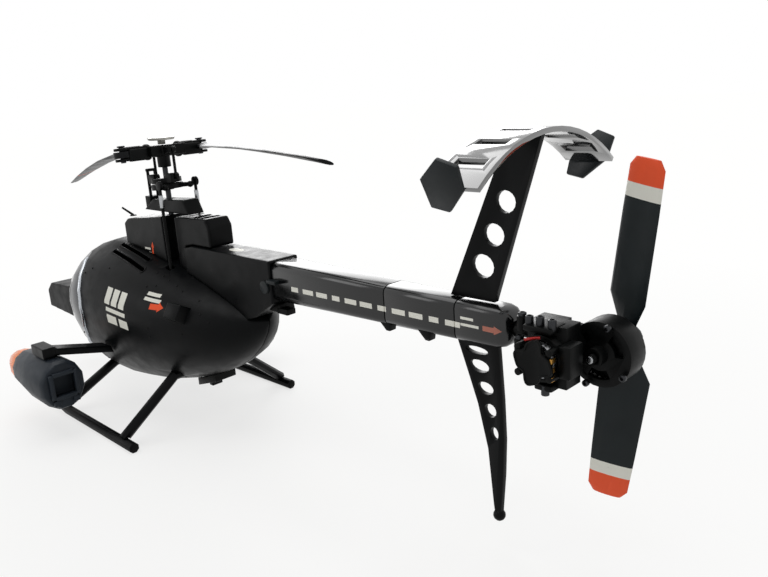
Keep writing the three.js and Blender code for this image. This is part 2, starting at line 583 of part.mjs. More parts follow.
function addTailDrive() {
  const { axisY, axisZ, motorRadius, ringRadius } = tailDrive;
  const { y, z } = tailMotor;
  const motorSeat = motorRadius + clearance;
  const shell = motorSeat + 1.1;
  const gearX = [-5.4, -5.4 + tailGear.width];
  const motorX = [gearX[1] + 2.4, gearX[1] + 2.4 + tailDrive.motorLength - 4];

  const shaft = rod([0, boom.end - 5.5, boom.axis], [0, y - shell - clearance, boom.axis], 1.8);
  add('tail_shaft_tube', shaft, 'satin');

  const housing = join(
    rod([motorX[0], y, z], [motorX[1] - 1.5, y, z], shell),
    block([2, 8], [y - 5, y + 5], [z - 7.2, z + 7.2]),
    block([-2.6, 4], [y - 7.4, y], [boom.axis - 4.4, boom.axis + 4.4]),
  );
  const bore = rod([motorX[0] - 6, y, z], [motorX[1] + 1, y, z], motorSeat);
  const clamp = rod([0, y - 12, boom.axis], [0, y - 5, boom.axis], 1.8 + clearance);
  add('tail_motor_housing', housing.subtract(bore).subtract(clamp), 'satin');

  const can = rod([motorX[0] + 0.3, y, z], [motorX[1], y, z], motorRadius);
  const boss = rod([motorX[1] - 0.1, y, z], [motorX[1] + 1, y, z], 1.5);
  add('tail_motor', can.add(boss), 'steel');

  const teeth = plate(gearOutline(tailPinion, 0.5), gearX, 'x');
  const pinionShaft = rod([gearX[0] - 0.6, 0, 0], [motorX[0] - 0.1, 0, 0], 0.6, 0.6, 8);
  const pinionPlace = new THREE.Group();
  pinionPlace.position.set(0, y, z);
  pinionPlace.rotation.x = degrees(tailDrive.slope);
  model.add(pinionPlace);
  add('tail_pinion', teeth.add(pinionShaft), 'steel', pinionPlace);

  const axle = rod([3.6, 0, 0], [tailRotor.x + 2.2, 0, 0], 1.1, 1.1, 12);
  const hub = rod([gearX[1] + 0.6, 0, 0], [gearX[0] - 0.6, 0, 0], 2.4);
  const wheel = plate(gearOutline(tailGear, 0), gearX, 'x');
  const gearPlace = new THREE.Group();
  gearPlace.position.set(0, axisY, axisZ);
  gearPlace.rotation.x = degrees(tailDrive.slope) + Math.PI;
  model.add(gearPlace);
  add('tail_gear', join(wheel, hub, axle), 'satin', gearPlace);

  // The gear cup is closed on the left, where three curved slots show the gear.
  const face = [gearX[1] + 1, gearX[1] + 2.2];
  const cup = rod([gearX[0] - 1.6, axisY, axisZ], [face[1], axisY, axisZ], ringRadius, ringRadius, 32)
    .add(rod([gearX[0] - 1.6, y, z], [face[1], y, z], 3.6))
    .add(rod([face[0], axisY, axisZ], [face[1] + 2.6, axisY, axisZ], 2.2));
  const roomRadius = ringRadius - 0.8;
  const roomForGear = rod([gearX[0] - 3, axisY, axisZ], [face[0], axisY, axisZ], roomRadius, roomRadius, 32)
    .add(rod([gearX[0] - 3, y, z], [face[0], y, z], 2.8));
  const holes = [
    rod([-9, axisY, axisZ], [9, axisY, axisZ], 1.1 + clearance),
    rod([-9, y, z], [9, y, z], 0.6 + clearance, 0.6 + clearance, 8),
  ];
  const arcs = [30, 150, 270].map((turn) => {
    const point = (radius, angle) => [
      axisY + radius * Math.cos(degrees(angle)), axisZ + radius * Math.sin(degrees(angle))];
    const steps = [-28, -14, 0, 14, 28];
    const outline = [
      ...steps.map((step) => point(5.9, turn + step)),
      ...steps.toReversed().map((step) => point(3.8, turn + step)),
    ];
    return plate(outline, [face[0] - 0.5, face[1] + 0.5], 'x');
  });
  const cupShape = [roomForGear, ...holes, ...arcs].reduce((rest, cut) => rest.subtract(cut), cup);
  add('tail_gear_housing', cupShape, 'satin');
}

function addTailRotor() {
  const place = new THREE.Group();
  place.position.set(tailRotor.x, tailDrive.axisY, tailDrive.axisZ);
  place.rotation.x = degrees(-tailRotor.lean);
  model.add(place);
  const shiftOf = (out) => tailRotor.offset * Math.min(out / 10, 1);
  const wing = () => {
    const rings = [3, 10, 30, tailRotor.radius - 2, tailRotor.radius].map((out, i) => {
      const share = out / tailRotor.radius;
      const chord = [5, tailRotor.rootChord, 10.6, tailRotor.tipChord, tailRotor.tipChord - 3][i];
      const angle = degrees(THREE.MathUtils.lerp(tailRotor.pitch + 4, tailRotor.pitch - 3, share));
      return circle(1, 12).map(([along, thick]) => new THREE.Vector3(
        along * chord / 2 * Math.sin(angle) + thick * 0.55 * Math.cos(angle),
        shiftOf(out) + along * chord / 2 * Math.cos(angle) - thick * 0.55 * Math.sin(angle),
        out,
      ));
    });
    return loft(rings);
  };
  const upper = wing();
  const lower = wing().rotate([180, 0, 0]);
  const boss = rod([-1.8, 0, 0], [1.9, 0, 0], 3.4);
  const socket = rod([-0.2, 0, 0], [3, 0, 0], 1.1 + clearance, 1.1 + clearance, 12);
  add('tail_rotor', join(upper, lower, boss).subtract(socket), 'black', place);
}

// ---------------------------------------------------------------- rotor head

const linkEnd = head.linkRadius + 1.2; // how far the lugs that hold the rotor links reach

function addSwashPlate() {
  const place = new THREE.Group();
  place.position.set(0, mast.y, swash.height);
  place.rotation.x = degrees(head.tilt);
  model.add(place);
  const { radius, ballRadius } = swash;
  const bore = rod([0, 0, -5], [0, 0, 5], mast.radius + 0.9);
  const slab = block([-9, 9], [-9, 9], [-2.1, 2.1]);
  add('swash_ball', ballAt([0, 0, 0], ballRadius).intersect(slab).subtract(bore), 'satin', place);

  const seat = ballAt([0, 0, 0], ballRadius + clearance + 0.15);
  const armReach = swash.rodX - 0.6 - clearance - 0.1;
  const arms = sides.map(([, side]) => join(
    rod([side * 2.9, 4, -0.7], [side * (armReach - 1.2), swash.rodY, -0.9], 0.9, 0.8, 8),
    ballAt([side * (armReach - 1.2), swash.rodY, -0.9], 1.2),
  ));
  const guidePin = rod([0, -radius + 1, -0.7], [0, -12, -0.7], 0.55, 0.55, 8);
  const lower = join(rod([0, 0, -1.7], [0, 0, 0.3], radius, radius, 24), ...arms, guidePin);
  const upperRing = rod([0, 0, 0.6], [0, 0, 2.4], radius - 0.3, radius - 0.3, 24);
  const lugs = [[4, linkEnd], [-linkEnd, -4]].map(
    (reach) => block([1.6, 2.8], reach, [0.7, swash.linkRise + 1.2]),
  );
  add('swash_lower_ring', lower.subtract(seat), 'satin', place);
  add('swash_upper_ring', join(upperRing, ...lugs).subtract(seat), 'satin', place);

  const prong = (x) => rod(
    [x, mast.y - 10.8, hump.top - 1], [x, mast.y - 10.8, swash.height + 5.2], 0.6, 0.6, 8,
  );
  const loop = join(
    prong(1.5), prong(-1.5),
    rod([-2.1, mast.y - 10.8, swash.height + 5], [2.1, mast.y - 10.8, swash.height + 5], 0.6, 0.6, 8),
    block([-2.6, 2.6], [mast.y - 12, mast.y - 9.6], [hump.top - 2, hump.top - 0.2]),
    block([-2.6, 2.6], [mast.y - 13.4, mast.y - 9.6], [cowlingTop.front + 3.2, hump.top - 0.2]),
  );
  const housing = plate([
    [hump.front - clearance, cowlingTop.rear - 5], [hump.front - clearance, cowlingTop.rear + clearance],
    [hump.front + 7 - 0.2, hump.top - 1 + 0.5], [hump.rear, hump.top + 0.5], [hump.rear, cowlingTop.rear - 5],
  ], [-hump.halfWidth - 1, hump.halfWidth + 1], 'x');
  add('anti_rotation_guide', loop.subtract(housing), 'satin');
}

function addHead() {
  const place = new THREE.Group();
  place.position.set(0, mast.y, head.height);
  model.add(place);
  const tilted = new THREE.Group();
  tilted.rotation.x = degrees(head.tilt);
  place.add(tilted);

  const mastBore = rod([0, 0, -7], [0, 0, -0.7], mast.radius + clearance);
  const hub = join(
    block([-4.3, 4.3], [-2.6, 2.6], [-2, 2]),
    rod([-6.2, 0, 0], [6.2, 0, 0], 0.8, 0.8, 12),
    rod([0, 0, -6], [0, 0, -1.9], 2.4),
  );
  add('rotor_hub', hub.subtract(mastBore), 'satin', place);
  const button = join(
    rod([0, 0, 2 + clearance], [0, 0, 4.2], 1.4),
    rod([0, 0, 3.9], [0, 0, 4.8], 4.6, 5.1, 20),
  );
  add('head_button', button, 'satin', place);

  const { boltRadius, linkRadius } = head;
  const ear = (z0) => join(
    rod([boltRadius, 0, z0], [boltRadius, 0, z0 + 1], 2.7),
    block([10.8, boltRadius], [-2.5, 2.5], [z0, z0 + 1]),
  );
  const grip = join(
    block([6.6, 11.6], [-2.5, 2.5], [-2.4, 2.4]),
    ear(1.4),
    ear(-2.4),
  ).subtract(rod([boltRadius, 0, -5], [boltRadius, 0, 5], 0.9 + clearance));
  const window = block([-4.6, 4.6], [-3.3, 3.3], [-5, 5]);
  const pinHole = rod([-6.6, 0, 0], [6.6, 0, 0], 0.8 + clearance, 0.8 + clearance, 12);
  const lugs = [[4, linkEnd], [-linkEnd, -4]].map((reach) => block([1.2, 2.4], reach, [-1.2, 1.2]));
  const holder = join(block([-7, 7], [-4.6, 4.6], [-1.9, 1.9]), grip, mirrored(grip, -1), ...lugs)
    .subtract(window).subtract(pinHole);
  add('blade_holder', holder, 'black', tilted);

  const drop = head.height - swash.height - swash.linkRise;
  const tilt = degrees(head.tilt);
  for (const [name, end] of [['rear', 1], ['front', -1]]) {
    const link = join(
      rod([0, 0, 0], [0, 0, -drop], 0.55, 0.55, 8),
      rod([-0.8, 0, 0], [0.8, 0, 0], 1.2, 1.2, 12),
      rod([-0.8, 0, -drop], [0.8, 0, -drop], 1.2, 1.2, 12),
    );
    const linkPlace = new THREE.Group();
    linkPlace.position.set(0, end * linkRadius * Math.cos(tilt), end * linkRadius * Math.sin(tilt));
    place.add(linkPlace);
    add(`rotor_link_${name}`, link, 'satin', linkPlace);
  }

  for (const [name, side] of sides) {
    const bolt = join(
      rod([0, 0, -2.9], [0, 0, 3], 0.9, 0.9, 12),
      rod([0, 0, 2.7], [0, 0, 3.2], 1.4, 1.4, 12),
    );
    const hinge = new THREE.Group();
    hinge.position.set(side * boltRadius, 0, 0);
    tilted.add(hinge);
    add(`blade_bolt_${name}`, bolt, 'steel', hinge);
    const turned = new THREE.Group();
    turned.rotation.z = degrees(side > 0 ? -head.foldAngle : 180 - head.foldAngle);
    hinge.add(turned);
    add(`main_blade_${name}`, bladeShape(), 'black', turned);
  }
}

// One main blade: it reaches along X from its bolt hole, and hangs down towards its tip.
function bladeShape() {
  const stations = [[0, 5], [7, 5.6], [14, blade.chord - 2], [22, blade.chord], [50, blade.chord],
    [80, blade.chord - 0.5], [blade.length - 5, blade.chord - 1.5], [blade.length, blade.chord - 6]];
  const rings = stations.map(([out, chord]) => {
    const sag = -blade.droop * (out / blade.length) ** 1.5;
    const thick = out < 10 ? 1.1 : blade.thickness / 2;
    const turn = degrees(-blade.pitch - blade.twist * out / blade.length) * Math.min(out / 22, 1);
    return circle(1, 12).map(([along, up]) => new THREE.Vector3(
      out,
      along * chord / 2 * Math.cos(turn) - up * thick * Math.sin(turn),
      sag + along * chord / 2 * Math.sin(turn) + up * thick * Math.cos(turn),
    ));
  });
  const eye = rod([0, 0, -1.1], [0, 0, 1.1], blade.rootRadius);
  const hole = rod([0, 0, -3], [0, 0, 3], 0.9 + clearance, 0.9 + clearance, 12);
  return loft(rings).add(eye).subtract(hole);
}

// ---------------------------------------------------------------- landing gear and pods

function addLandingGear() {
  for (const [name, side] of sides) add(`skid_${name}`, skidTube(side), 'black');
  add('cross_tube_front', crossTubes.front(strut.radius), 'black');
  add('cross_tube_rear', crossTubes.rear(strut.radius), 'black');
}

function addPods() {
  for (const [name, side] of sides) {
    const half = pylon.width / 2;
    const arm = loft([
      [pylon.rootX - 4, pylon.rootZ - 1.3], [pylon.tipX - 1, pylon.tipZ - 0.3],
    ].map(([x, z]) => [
      [-half, -1], [half, -1], [half, 1], [-half, 1],
    ].map(([dy, dz]) => new THREE.Vector3(x, pylon.y + dy, z + dz * pylon.thickness / 2))));
    const podTop = pod.axisZ + pod.radius;
    const rail = block([pylon.tipX - 1.5, pylon.tipX + 3.5], [pylon.y - half - 5, pylon.y + half - 1],
      [podTop + clearance, pylon.tipZ + 1.6]);
    add(`pylon_${name}`, mirrored(arm.add(rail).subtract(around), side), 'black');

    const section = (y, scale) => circle(pod.radius * scale / Math.cos(Math.PI / 12), 12).map(([a, b]) => {
      const turn = Math.PI / 12;
      return new THREE.Vector3(
        pylon.tipX + pod.slim * (a * Math.cos(turn) - b * Math.sin(turn)), y,
        pod.axisZ + a * Math.sin(turn) + b * Math.cos(turn));
    });
    const front = pod.rear - pod.length;
    const can = loft([section(pod.rear, 0.9), section(pod.rear - 2, 1), section(front + 14, 0.98),
      section(front, 0.8)]);
    const well = block([pylon.tipX - 5, pylon.tipX + 5], [pod.rear - 5, pod.rear + 1],
      [pod.axisZ - 4.5, pod.axisZ + 4.5]);
    add(`pod_${name}`, mirrored(can.subtract(well), side), 'slate');
    const tip = loft([
      section(front - clearance, 0.77), section(front - pod.noseLength / 2, 0.66),
      section(front - pod.noseLength, 0.4),
    ]);
    add(`pod_nose_${name}`, mirrored(tip, side), 'orange');
  }
}

addBody();
addChassis();
addCowling();
addBoom();
addFins();
addTailDrive();
addTailRotor();
addSwashPlate();
addHead();
addLandingGear();
addPods();

// The object's own frame: centred on its outer box, standing on the ground.
const bounds = new THREE.Box3().setFromObject(model, true);
model.position.set(
  -(bounds.min.x + bounds.max.x) / 2,
  -(bounds.min.y + bounds.max.y) / 2,
  -bounds.min.z,
);

export default model;
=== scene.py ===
"""Looks of a small remote control helicopter, laid out as an add-on and run as a script.

Lengths in the code are millimetres until at() or MM turns them to metres. Stations run aft
from a plane 6 mm ahead of the mast, x runs to port and z up from the ground.
"""
import json
import math

import bmesh
import bpy
from bpy.props import FloatProperty, FloatVectorProperty, PointerProperty
from mathutils import Matrix, Vector
from mathutils.bvhtree import BVHTree

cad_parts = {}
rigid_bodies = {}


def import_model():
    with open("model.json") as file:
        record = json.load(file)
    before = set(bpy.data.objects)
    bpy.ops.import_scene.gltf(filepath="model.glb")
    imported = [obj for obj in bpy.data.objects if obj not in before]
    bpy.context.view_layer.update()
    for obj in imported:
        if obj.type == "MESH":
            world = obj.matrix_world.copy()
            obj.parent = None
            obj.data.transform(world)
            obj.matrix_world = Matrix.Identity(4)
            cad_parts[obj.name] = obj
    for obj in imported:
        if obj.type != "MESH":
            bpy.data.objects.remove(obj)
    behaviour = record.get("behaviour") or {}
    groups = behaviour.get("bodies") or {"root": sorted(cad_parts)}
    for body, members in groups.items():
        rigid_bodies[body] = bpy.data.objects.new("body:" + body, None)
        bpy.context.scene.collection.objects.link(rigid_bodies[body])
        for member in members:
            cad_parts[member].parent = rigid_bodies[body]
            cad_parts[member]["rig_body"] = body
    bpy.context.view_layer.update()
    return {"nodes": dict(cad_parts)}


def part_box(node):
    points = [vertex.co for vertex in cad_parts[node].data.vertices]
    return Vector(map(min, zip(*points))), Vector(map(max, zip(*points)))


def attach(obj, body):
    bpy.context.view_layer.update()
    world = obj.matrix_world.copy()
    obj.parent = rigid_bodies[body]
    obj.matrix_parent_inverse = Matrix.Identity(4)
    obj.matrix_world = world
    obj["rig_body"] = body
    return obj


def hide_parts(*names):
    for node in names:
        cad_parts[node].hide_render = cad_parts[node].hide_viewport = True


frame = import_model()

bl_info = {
    "name": "Remote control helicopter",
    "version": (1, 0, 0),
    "blender": (4, 5, 0),
    "location": "View3D > Sidebar > Helicopter",
    "description": "Builds the finished surfaces of a small remote control helicopter",
    "category": "Object",
}

MM = 0.001
MAST_LOW, MAST_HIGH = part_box("mast")
MAST_STATION = 6.0
STATION_ZERO = (MAST_LOW.y + MAST_HIGH.y) / 2 - MAST_STATION * MM
SIDES = ((1, "left"), (-1, "right"))
OUTBOARD, OVERHEAD = 60, 90  # millimetres, clear of the body, where rays to its skin start
CAMERA_PLACE = (143.4, 262.8, 122.8)  # millimetres to port, aft and up
CAMERA_TURN = (44.7, -15.3, -3.7)  # degrees of yaw, pitch and roll
SENSOR, LENS = 36, 35.1609375  # millimetres
WINDOW = {"station": -46, "z": 43.5, "half_length": 16.5, "half_height": 20}


def at(x, station, z):
    """A place on the helicopter in metres, from millimetres to port, aft and up."""
    return Vector((x * MM, STATION_ZERO + station * MM, z * MM))


def beside(origin, x, y, z):
    """A place so many millimetres from another, which is in metres."""
    return origin + Vector((x, y, z)) * MM


def linear(code):
    """Linear red, green and blue of an sRGB hex colour."""
    parts = [int(code[i : i + 2], 16) / 255 for i in (1, 3, 5)]
    return tuple(p / 12.92 if p <= 0.04045 else ((p + 0.055) / 1.055) ** 2.4 for p in parts)


def colour_property(name, description, code):
    return FloatVectorProperty(
        name=name, description=description, subtype="COLOR", size=3, min=0, max=1,
        default=linear(code),
    )


def length_property(name, description, millimetres):
    return FloatProperty(
        name=name, description=description, subtype="DISTANCE", unit="LENGTH",
        default=millimetres * MM, min=0, precision=5,
    )


class HelicopterColours(bpy.types.PropertyGroup):
    """Colours of the mouldings and the print."""

    shell: colour_property("Shell", "Body shells, cowling and boom", "#060708")
    frame: colour_property("Frame", "Nylon frames, head and tail unit", "#060707")
    pod: colour_property("Pods", "Barrels and blocks under the arms", "#20262d")
    blade: colour_property("Tail blades", "Tail rotor between its hub and the bands", "#12191b")
    fin_plate: colour_property("End plates", "Small plates of the stabiliser", "#161b1d")
    bright: colour_property("Bright orange", "Blade tips, pod noses and arrows", "#ee5a34")
    amber: colour_property("Pod nose", "Translucent tips of the pods", "#f2854a")
    faded: colour_property("Faded orange", "Arrow on the tail boom", "#b06a58")
    # white also fills the plain oval painted on the fairing's top.
    white: colour_property("White print", "Bars, bands and the blank label", "#e9e8de")
    glazing: colour_property("Glazing", "Tint of the nose window", "#0d1420")


class HelicopterSizes(bpy.types.PropertyGroup):
    """Sizes of the small details."""

    edge: length_property("Edge rounding", "Radius on the edges of mouldings", 0.22)
    rivet: length_property("Rivet", "Radius of a rivet head", 0.42)
    louvre_shade: length_property("Louvre", "Width of the slots in the shell and cowling", 1.35)
    screw: length_property("Screw head", "Radius of a frame screw's head", 1.05)
    window_rim: length_property("Window rim", "Width of the rim behind each side window", 1.7)


# ---------------------------------------------------------------- surfaces


def add_node(tree, kind, links=None, **settings):
    """Adds a shader node; links maps an input's name or number to a value or a socket."""
    made = tree.nodes.new(f"ShaderNode{kind}")
    for name, value in settings.items():
        setattr(made, name, value)
    for name, value in (links or {}).items():
        if isinstance(value, bpy.types.NodeSocket):
            tree.links.new(value, made.inputs[name])
        else:
            made.inputs[name].default_value = value
    return made


def math_node(tree, operation, first, second=0.0, third=None):
    links = {0: first, 1: second}
    if third is not None:
        links[2] = third
    return add_node(tree, "Math", links, operation=operation).outputs[0]


def within(tree, value, reach):
    return math_node(tree, "COMPARE", value, 0.0, reach)


def times(tree, first, second):
    return math_node(tree, "MULTIPLY", first, second)


def squares(tree, first, second):
    """The sum of two squares."""
    return math_node(tree, "MULTIPLY_ADD", first, first, times(tree, second, second))


def object_place(tree):
    return add_node(tree, "TexCoord").outputs["Object"]


def noise(tree, size, detail=2.0, roughness=0.5, stretch=(1, 1, 1)):
    """Noise whose features are about size millimetres across, drawn out by stretch."""
    place = add_node(
        tree, "Mapping",
        {"Vector": object_place(tree), "Scale": tuple(1 / s for s in stretch)},
    )
    return add_node(
        tree, "TexNoise",
        {
            "Vector": place.outputs[0], "Scale": 1 / (size * MM), "Detail": detail,
            "Roughness": roughness,
        },
    ).outputs["Fac"]


def ranged(tree, value, low, high, to_low, to_high):
    return add_node(
        tree, "MapRange",
        {"Value": value, "From Min": low, "From Max": high, "To Min": to_low, "To Max": to_high},
    ).outputs["Result"]


def mixed(tree, factor, first, second):
    """First colour where factor is 0, second where it is 1."""
    made = add_node(tree, "Mix", data_type="RGBA")
    for number, value in ((0, factor), (6, first), (7, second)):
        socket = made.inputs[number]
        if isinstance(value, bpy.types.NodeSocket):
            tree.links.new(value, socket)
        else:
            socket.default_value = value if isinstance(value, float) else (*value, 1)[:4]
    return made.outputs[2]


def label_place(tree, centre, turn=(0, 0, 0)):
    """Coordinates on a label, from its centre and turned with it, as three sockets."""
    place = add_node(
        tree, "Mapping",
        {"Vector": object_place(tree), "Location": centre, "Rotation": turn},
        vector_type="TEXTURE",
    )
    return add_node(tree, "SeparateXYZ", {0: place.outputs[0]}).outputs


def box_mask(tree, centre, half, turn=(0, 0, 0)):
    """1 inside a box of half sizes in millimetres, 0 outside."""
    place = label_place(tree, centre, turn)
    mask = None
    for axis, reach in zip(place, half):
        side = within(tree, axis, reach * MM)
        mask = side if mask is None else times(tree, mask, side)
    return mask


def oval_mask(tree, centre, half):
    """1 inside an oval seen from above."""
    place = label_place(tree, centre)
    along = math_node(tree, "DIVIDE", place[0], half[0] * MM)
    across = math_node(tree, "DIVIDE", place[1], half[1] * MM)
    reach = squares(tree, along, across)
    near = within(tree, place[2], half[2] * MM)
    return times(tree, math_node(tree, "LESS_THAN", reach, 1.0), near)


def arrow_mask(tree, centre, length, half_width, depth, turn=(0, 0, 0)):
    """A plain arrow on a side face that points along the label's y."""
    x, y, z = label_place(tree, centre, turn)
    near = within(tree, x, depth * MM)
    shaft = times(
        tree,
        math_node(tree, "COMPARE", y, -0.18 * length * MM, 0.34 * length * MM),
        within(tree, z, 0.55 * half_width * MM),
    )
    taper = math_node(
        tree, "MULTIPLY_ADD", y, -half_width / (0.42 * length), 1.18 * half_width * MM
    )
    head = times(
        tree,
        math_node(tree, "GREATER_THAN", y, 0.1 * length * MM),
        math_node(tree, "LESS_THAN", math_node(tree, "ABSOLUTE", z), taper),
    )
    return times(tree, near, math_node(tree, "MAXIMUM", shaft, head))


def any_of(tree, masks):
    total = masks[0]
    for mask in masks[1:]:
        total = math_node(tree, "MAXIMUM", total, mask)
    return total


def new_material(name):
    made = bpy.data.materials.new(name)
    made.use_nodes = True
    tree = made.node_tree
    return made, tree, tree.nodes["Principled BSDF"]


def moulded(name, colour, gloss=0.32, spread=0.1, specular=0.3, grain=0.35, depth=0.006, prints=()):
    """Injection moulded plastic: even colour, a fine spark-eroded grain and handling marks.

    gloss is the mean roughness and spread its drift over the surface; grain and depth are
    the mould texture in millimetres. prints are pairs of a mask maker and a colour.
    """
    made, tree, shader = new_material(name)
    clouds = noise(tree, 9.0, 3.0)
    shade = mixed(
        tree, ranged(tree, clouds, 0.35, 0.65, 0.0, 1.0),
        tuple(0.86 * c for c in colour), tuple(min(1, 1.18 * c) for c in colour),
    )
    smudge = ranged(tree, noise(tree, 5.0, 5.0, 0.6), 0.3, 0.7, gloss - spread, gloss + spread)
    for mask_maker, print_colour in prints:
        mask = mask_maker(tree)
        worn = ranged(tree, noise(tree, 0.5, 4.0, 0.7), 0.2, 0.36, 0.6, 1.0)
        shade = mixed(tree, times(tree, mask, worn), shade, tuple(print_colour))
        smudge = math_node(tree, "MAXIMUM", smudge, times(tree, mask, 0.45))
    tree.links.new(shade, shader.inputs["Base Color"])
    tree.links.new(smudge, shader.inputs["Roughness"])
    shader.inputs["IOR"].default_value = 1.5
    shader.inputs["Specular IOR Level"].default_value = specular
    bump = add_node(
        tree, "Bump",
        {"Height": noise(tree, grain, 2.0, 0.6), "Strength": 0.5, "Distance": depth * MM},
    )
    tree.links.new(bump.outputs[0], shader.inputs["Normal"])
    return made


def metal(name, colour, roughness, stretch=(1, 1, 1), size=0.4):
    """Drawn or turned metal: fine lines along one way that break up its highlight."""
    made, tree, shader = new_material(name)
    lines = noise(tree, size, 3.0, 0.6, stretch)
    tree.links.new(
        mixed(tree, lines, tuple(0.8 * c for c in colour), colour), shader.inputs["Base Color"]
    )
    tree.links.new(
        ranged(tree, lines, 0.3, 0.7, roughness - 0.08, roughness + 0.1), shader.inputs["Roughness"]
    )
    shader.inputs["Metallic"].default_value = 1.0
    bump = add_node(
        tree, "Bump", {"Height": lines, "Strength": 0.3, "Distance": 0.01 * MM}
    )
    tree.links.new(bump.outputs[0], shader.inputs["Normal"])
    return made


# ---------------------------------------------------------------- shaping


def mode(name):
    if bpy.context.object and bpy.context.object.mode != name:
        bpy.ops.object.mode_set(mode=name)


def alone(piece):
    """Makes a piece the only selected and the active object."""
    mode("OBJECT")
    bpy.ops.object.select_all(action="DESELECT")
    piece.select_set(True)
    bpy.context.view_layer.objects.active = piece


def primitive(kind, **settings):
    mode("OBJECT")
    bpy.ops.object.select_all(action="DESELECT")
    getattr(bpy.ops.mesh, f"primitive_{kind}_add")(**settings)
    return bpy.context.object


def pick_faces(piece, wanted):
    """Selects, in edit mode, the faces whose centre and normal pass the test."""
    bpy.ops.mesh.select_mode(type="FACE")
    shape = bmesh.from_edit_mesh(piece.data)
    for face in shape.faces:
        face.select_set(wanted(face.calc_center_median(), face.normal))
    shape.select_flush(True)
    bmesh.update_edit_mesh(piece.data)


def extrude(*way):
    bpy.ops.mesh.extrude_region_move(TRANSFORM_OT_translate={"value": way})


def modify(piece, kind, **settings):
    alone(piece)
    made = piece.modifiers.new(kind.title(), kind)
    for name, value in settings.items():
        setattr(made, name, value)
    bpy.ops.object.modifier_apply(modifier=made.name)


def round_edges(piece, width, segments=2, angle=32):
    modify(
        piece, "BEVEL", width=width, segments=segments, limit_method="ANGLE",
        angle_limit=math.radians(angle), use_clamp_overlap=True, miter_outer="MITER_ARC",
    )


def settle_parts(parts, name, finish, body="airframe", smooth=40):
    """Joins parts into one piece with its place in its mesh, names, smooths and rides it."""
    piece = joined(parts)
    alone(piece)
    bpy.ops.object.transform_apply(location=True, rotation=True, scale=True)
    mode("EDIT")
    bpy.ops.mesh.select_all(action="SELECT")
    bpy.ops.mesh.normals_make_consistent(inside=False)
    mode("OBJECT")
    bpy.ops.object.shade_smooth_by_angle(angle=math.radians(smooth))
    piece.name = piece.data.name = name
    piece.data.materials.clear()
    piece.data.materials.append(Finishes.get(finish))
    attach(piece, body)


def merged_copy(node):
    """A copy of a CAD node's mesh with its loose triangles joined and flat faces made whole."""
    source = frame["nodes"][node]
    piece = bpy.data.objects.new(f"{node}_finished", source.data.copy())
    bpy.context.scene.collection.objects.link(piece)
    alone(piece)
    if piece.data.has_custom_normals:
        bpy.ops.mesh.customdata_custom_splitnormals_clear()
    mode("EDIT")
    bpy.ops.mesh.select_all(action="SELECT")
    bpy.ops.mesh.remove_doubles(threshold=2e-6)
    bpy.ops.mesh.dissolve_limited(angle_limit=math.radians(0.6))
    mode("OBJECT")
    return piece


def finish_node(node, finish, edge=None, smooth=32, segments=2):
    """Stands a copy with rounded edges in for a CAD node and gives it its surface."""
    piece = merged_copy(node)
    width = bpy.context.scene.helicopter_sizes.edge if edge is None else edge * MM
    round_edges(piece, width, segments)
    return stand_in(piece, node, finish, smooth)


def melt_node(node, finish, voxel=0.35, rounds=10, smooth=50):
    """Stands in for a CAD node with a copy whose edges are rounded all over, as moulded."""
    piece = merged_copy(node)
    modify(piece, "REMESH", mode="VOXEL", voxel_size=voxel * MM)
    modify(piece, "SMOOTH", factor=0.5, iterations=rounds)
    return stand_in(piece, node, finish, smooth)


def soft_block(centre, size, turn=(0, 0, 0), edge=0.3, narrow=1.0, segments=2):
    """A moulded block, its top narrowed and its edges rounded."""
    piece = primitive("cube", size=1, location=centre, rotation=turn, scale=Vector(size) * MM)
    bpy.ops.object.transform_apply(location=False, rotation=False, scale=True)
    mode("EDIT")
    pick_faces(piece, lambda place, normal: normal.z > 0.5)
    bpy.ops.transform.resize(value=(narrow, narrow, 1))
    mode("OBJECT")
    round_edges(piece, edge * MM, segments)
    return piece


def turned(centre, radius, length, axis="Z", sides=32, edge=0.15, neck=0.0, turn=None):
    """A turned disc or pin along an axis, its ends rounded; neck insets and sinks one end."""
    turns = {"X": (0, math.pi / 2, 0), "Y": (math.pi / 2, 0, 0), "Z": (0, 0, 0)}
    piece = primitive(
        "cylinder", vertices=sides, radius=radius * MM, depth=length * MM, location=centre,
        rotation=turn if turn is not None else turns[axis], end_fill_type="NGON",
    )
    if neck:
        mode("EDIT")
        pick_faces(piece, lambda place, normal: abs(normal.z) > 0.9)
        bpy.ops.mesh.inset(thickness=abs(neck) * MM)
        bpy.ops.mesh.extrude_region_shrink_fatten(
            TRANSFORM_OT_shrink_fatten={"value": (-0.35 if neck > 0 else 0.35) * MM}
        )
        mode("OBJECT")
    if edge:
        round_edges(piece, edge * MM, 2, 40)
    return piece


def joined(pieces):
    bpy.ops.object.select_all(action="DESELECT")
    for piece in pieces:
        piece.select_set(True)
    bpy.context.view_layer.objects.active = pieces[0]
    if len(pieces) > 1:
        bpy.ops.object.join()
    return bpy.context.view_layer.objects.active


def copy_of(piece, matrix):
    """A copy with its own mesh, moved by a matrix."""
    twin = piece.copy()
    twin.data = piece.data.copy()
    bpy.context.scene.collection.objects.link(twin)
    twin.matrix_world = matrix
    return twin


def wire(points, radius, sides=10):
    """A drawn wire or cable through points, as a mesh tube."""
    curve = bpy.data.curves.new("wire", "CURVE")
    curve.dimensions = "3D"
    curve.bevel_depth = radius * MM
    curve.bevel_resolution = max(1, sides // 4)
    curve.use_fill_caps = True
    curve.resolution_u = 8
    spline = curve.splines.new("BEZIER")
    spline.bezier_points.add(len(points) - 1)
    for knot, place in zip(spline.bezier_points, points):
        knot.co = place
        knot.handle_left_type = knot.handle_right_type = "AUTO"
    piece = bpy.data.objects.new("wire", curve)
    bpy.context.scene.collection.objects.link(piece)
    alone(piece)
    bpy.ops.object.convert(target="MESH")
    return bpy.context.object


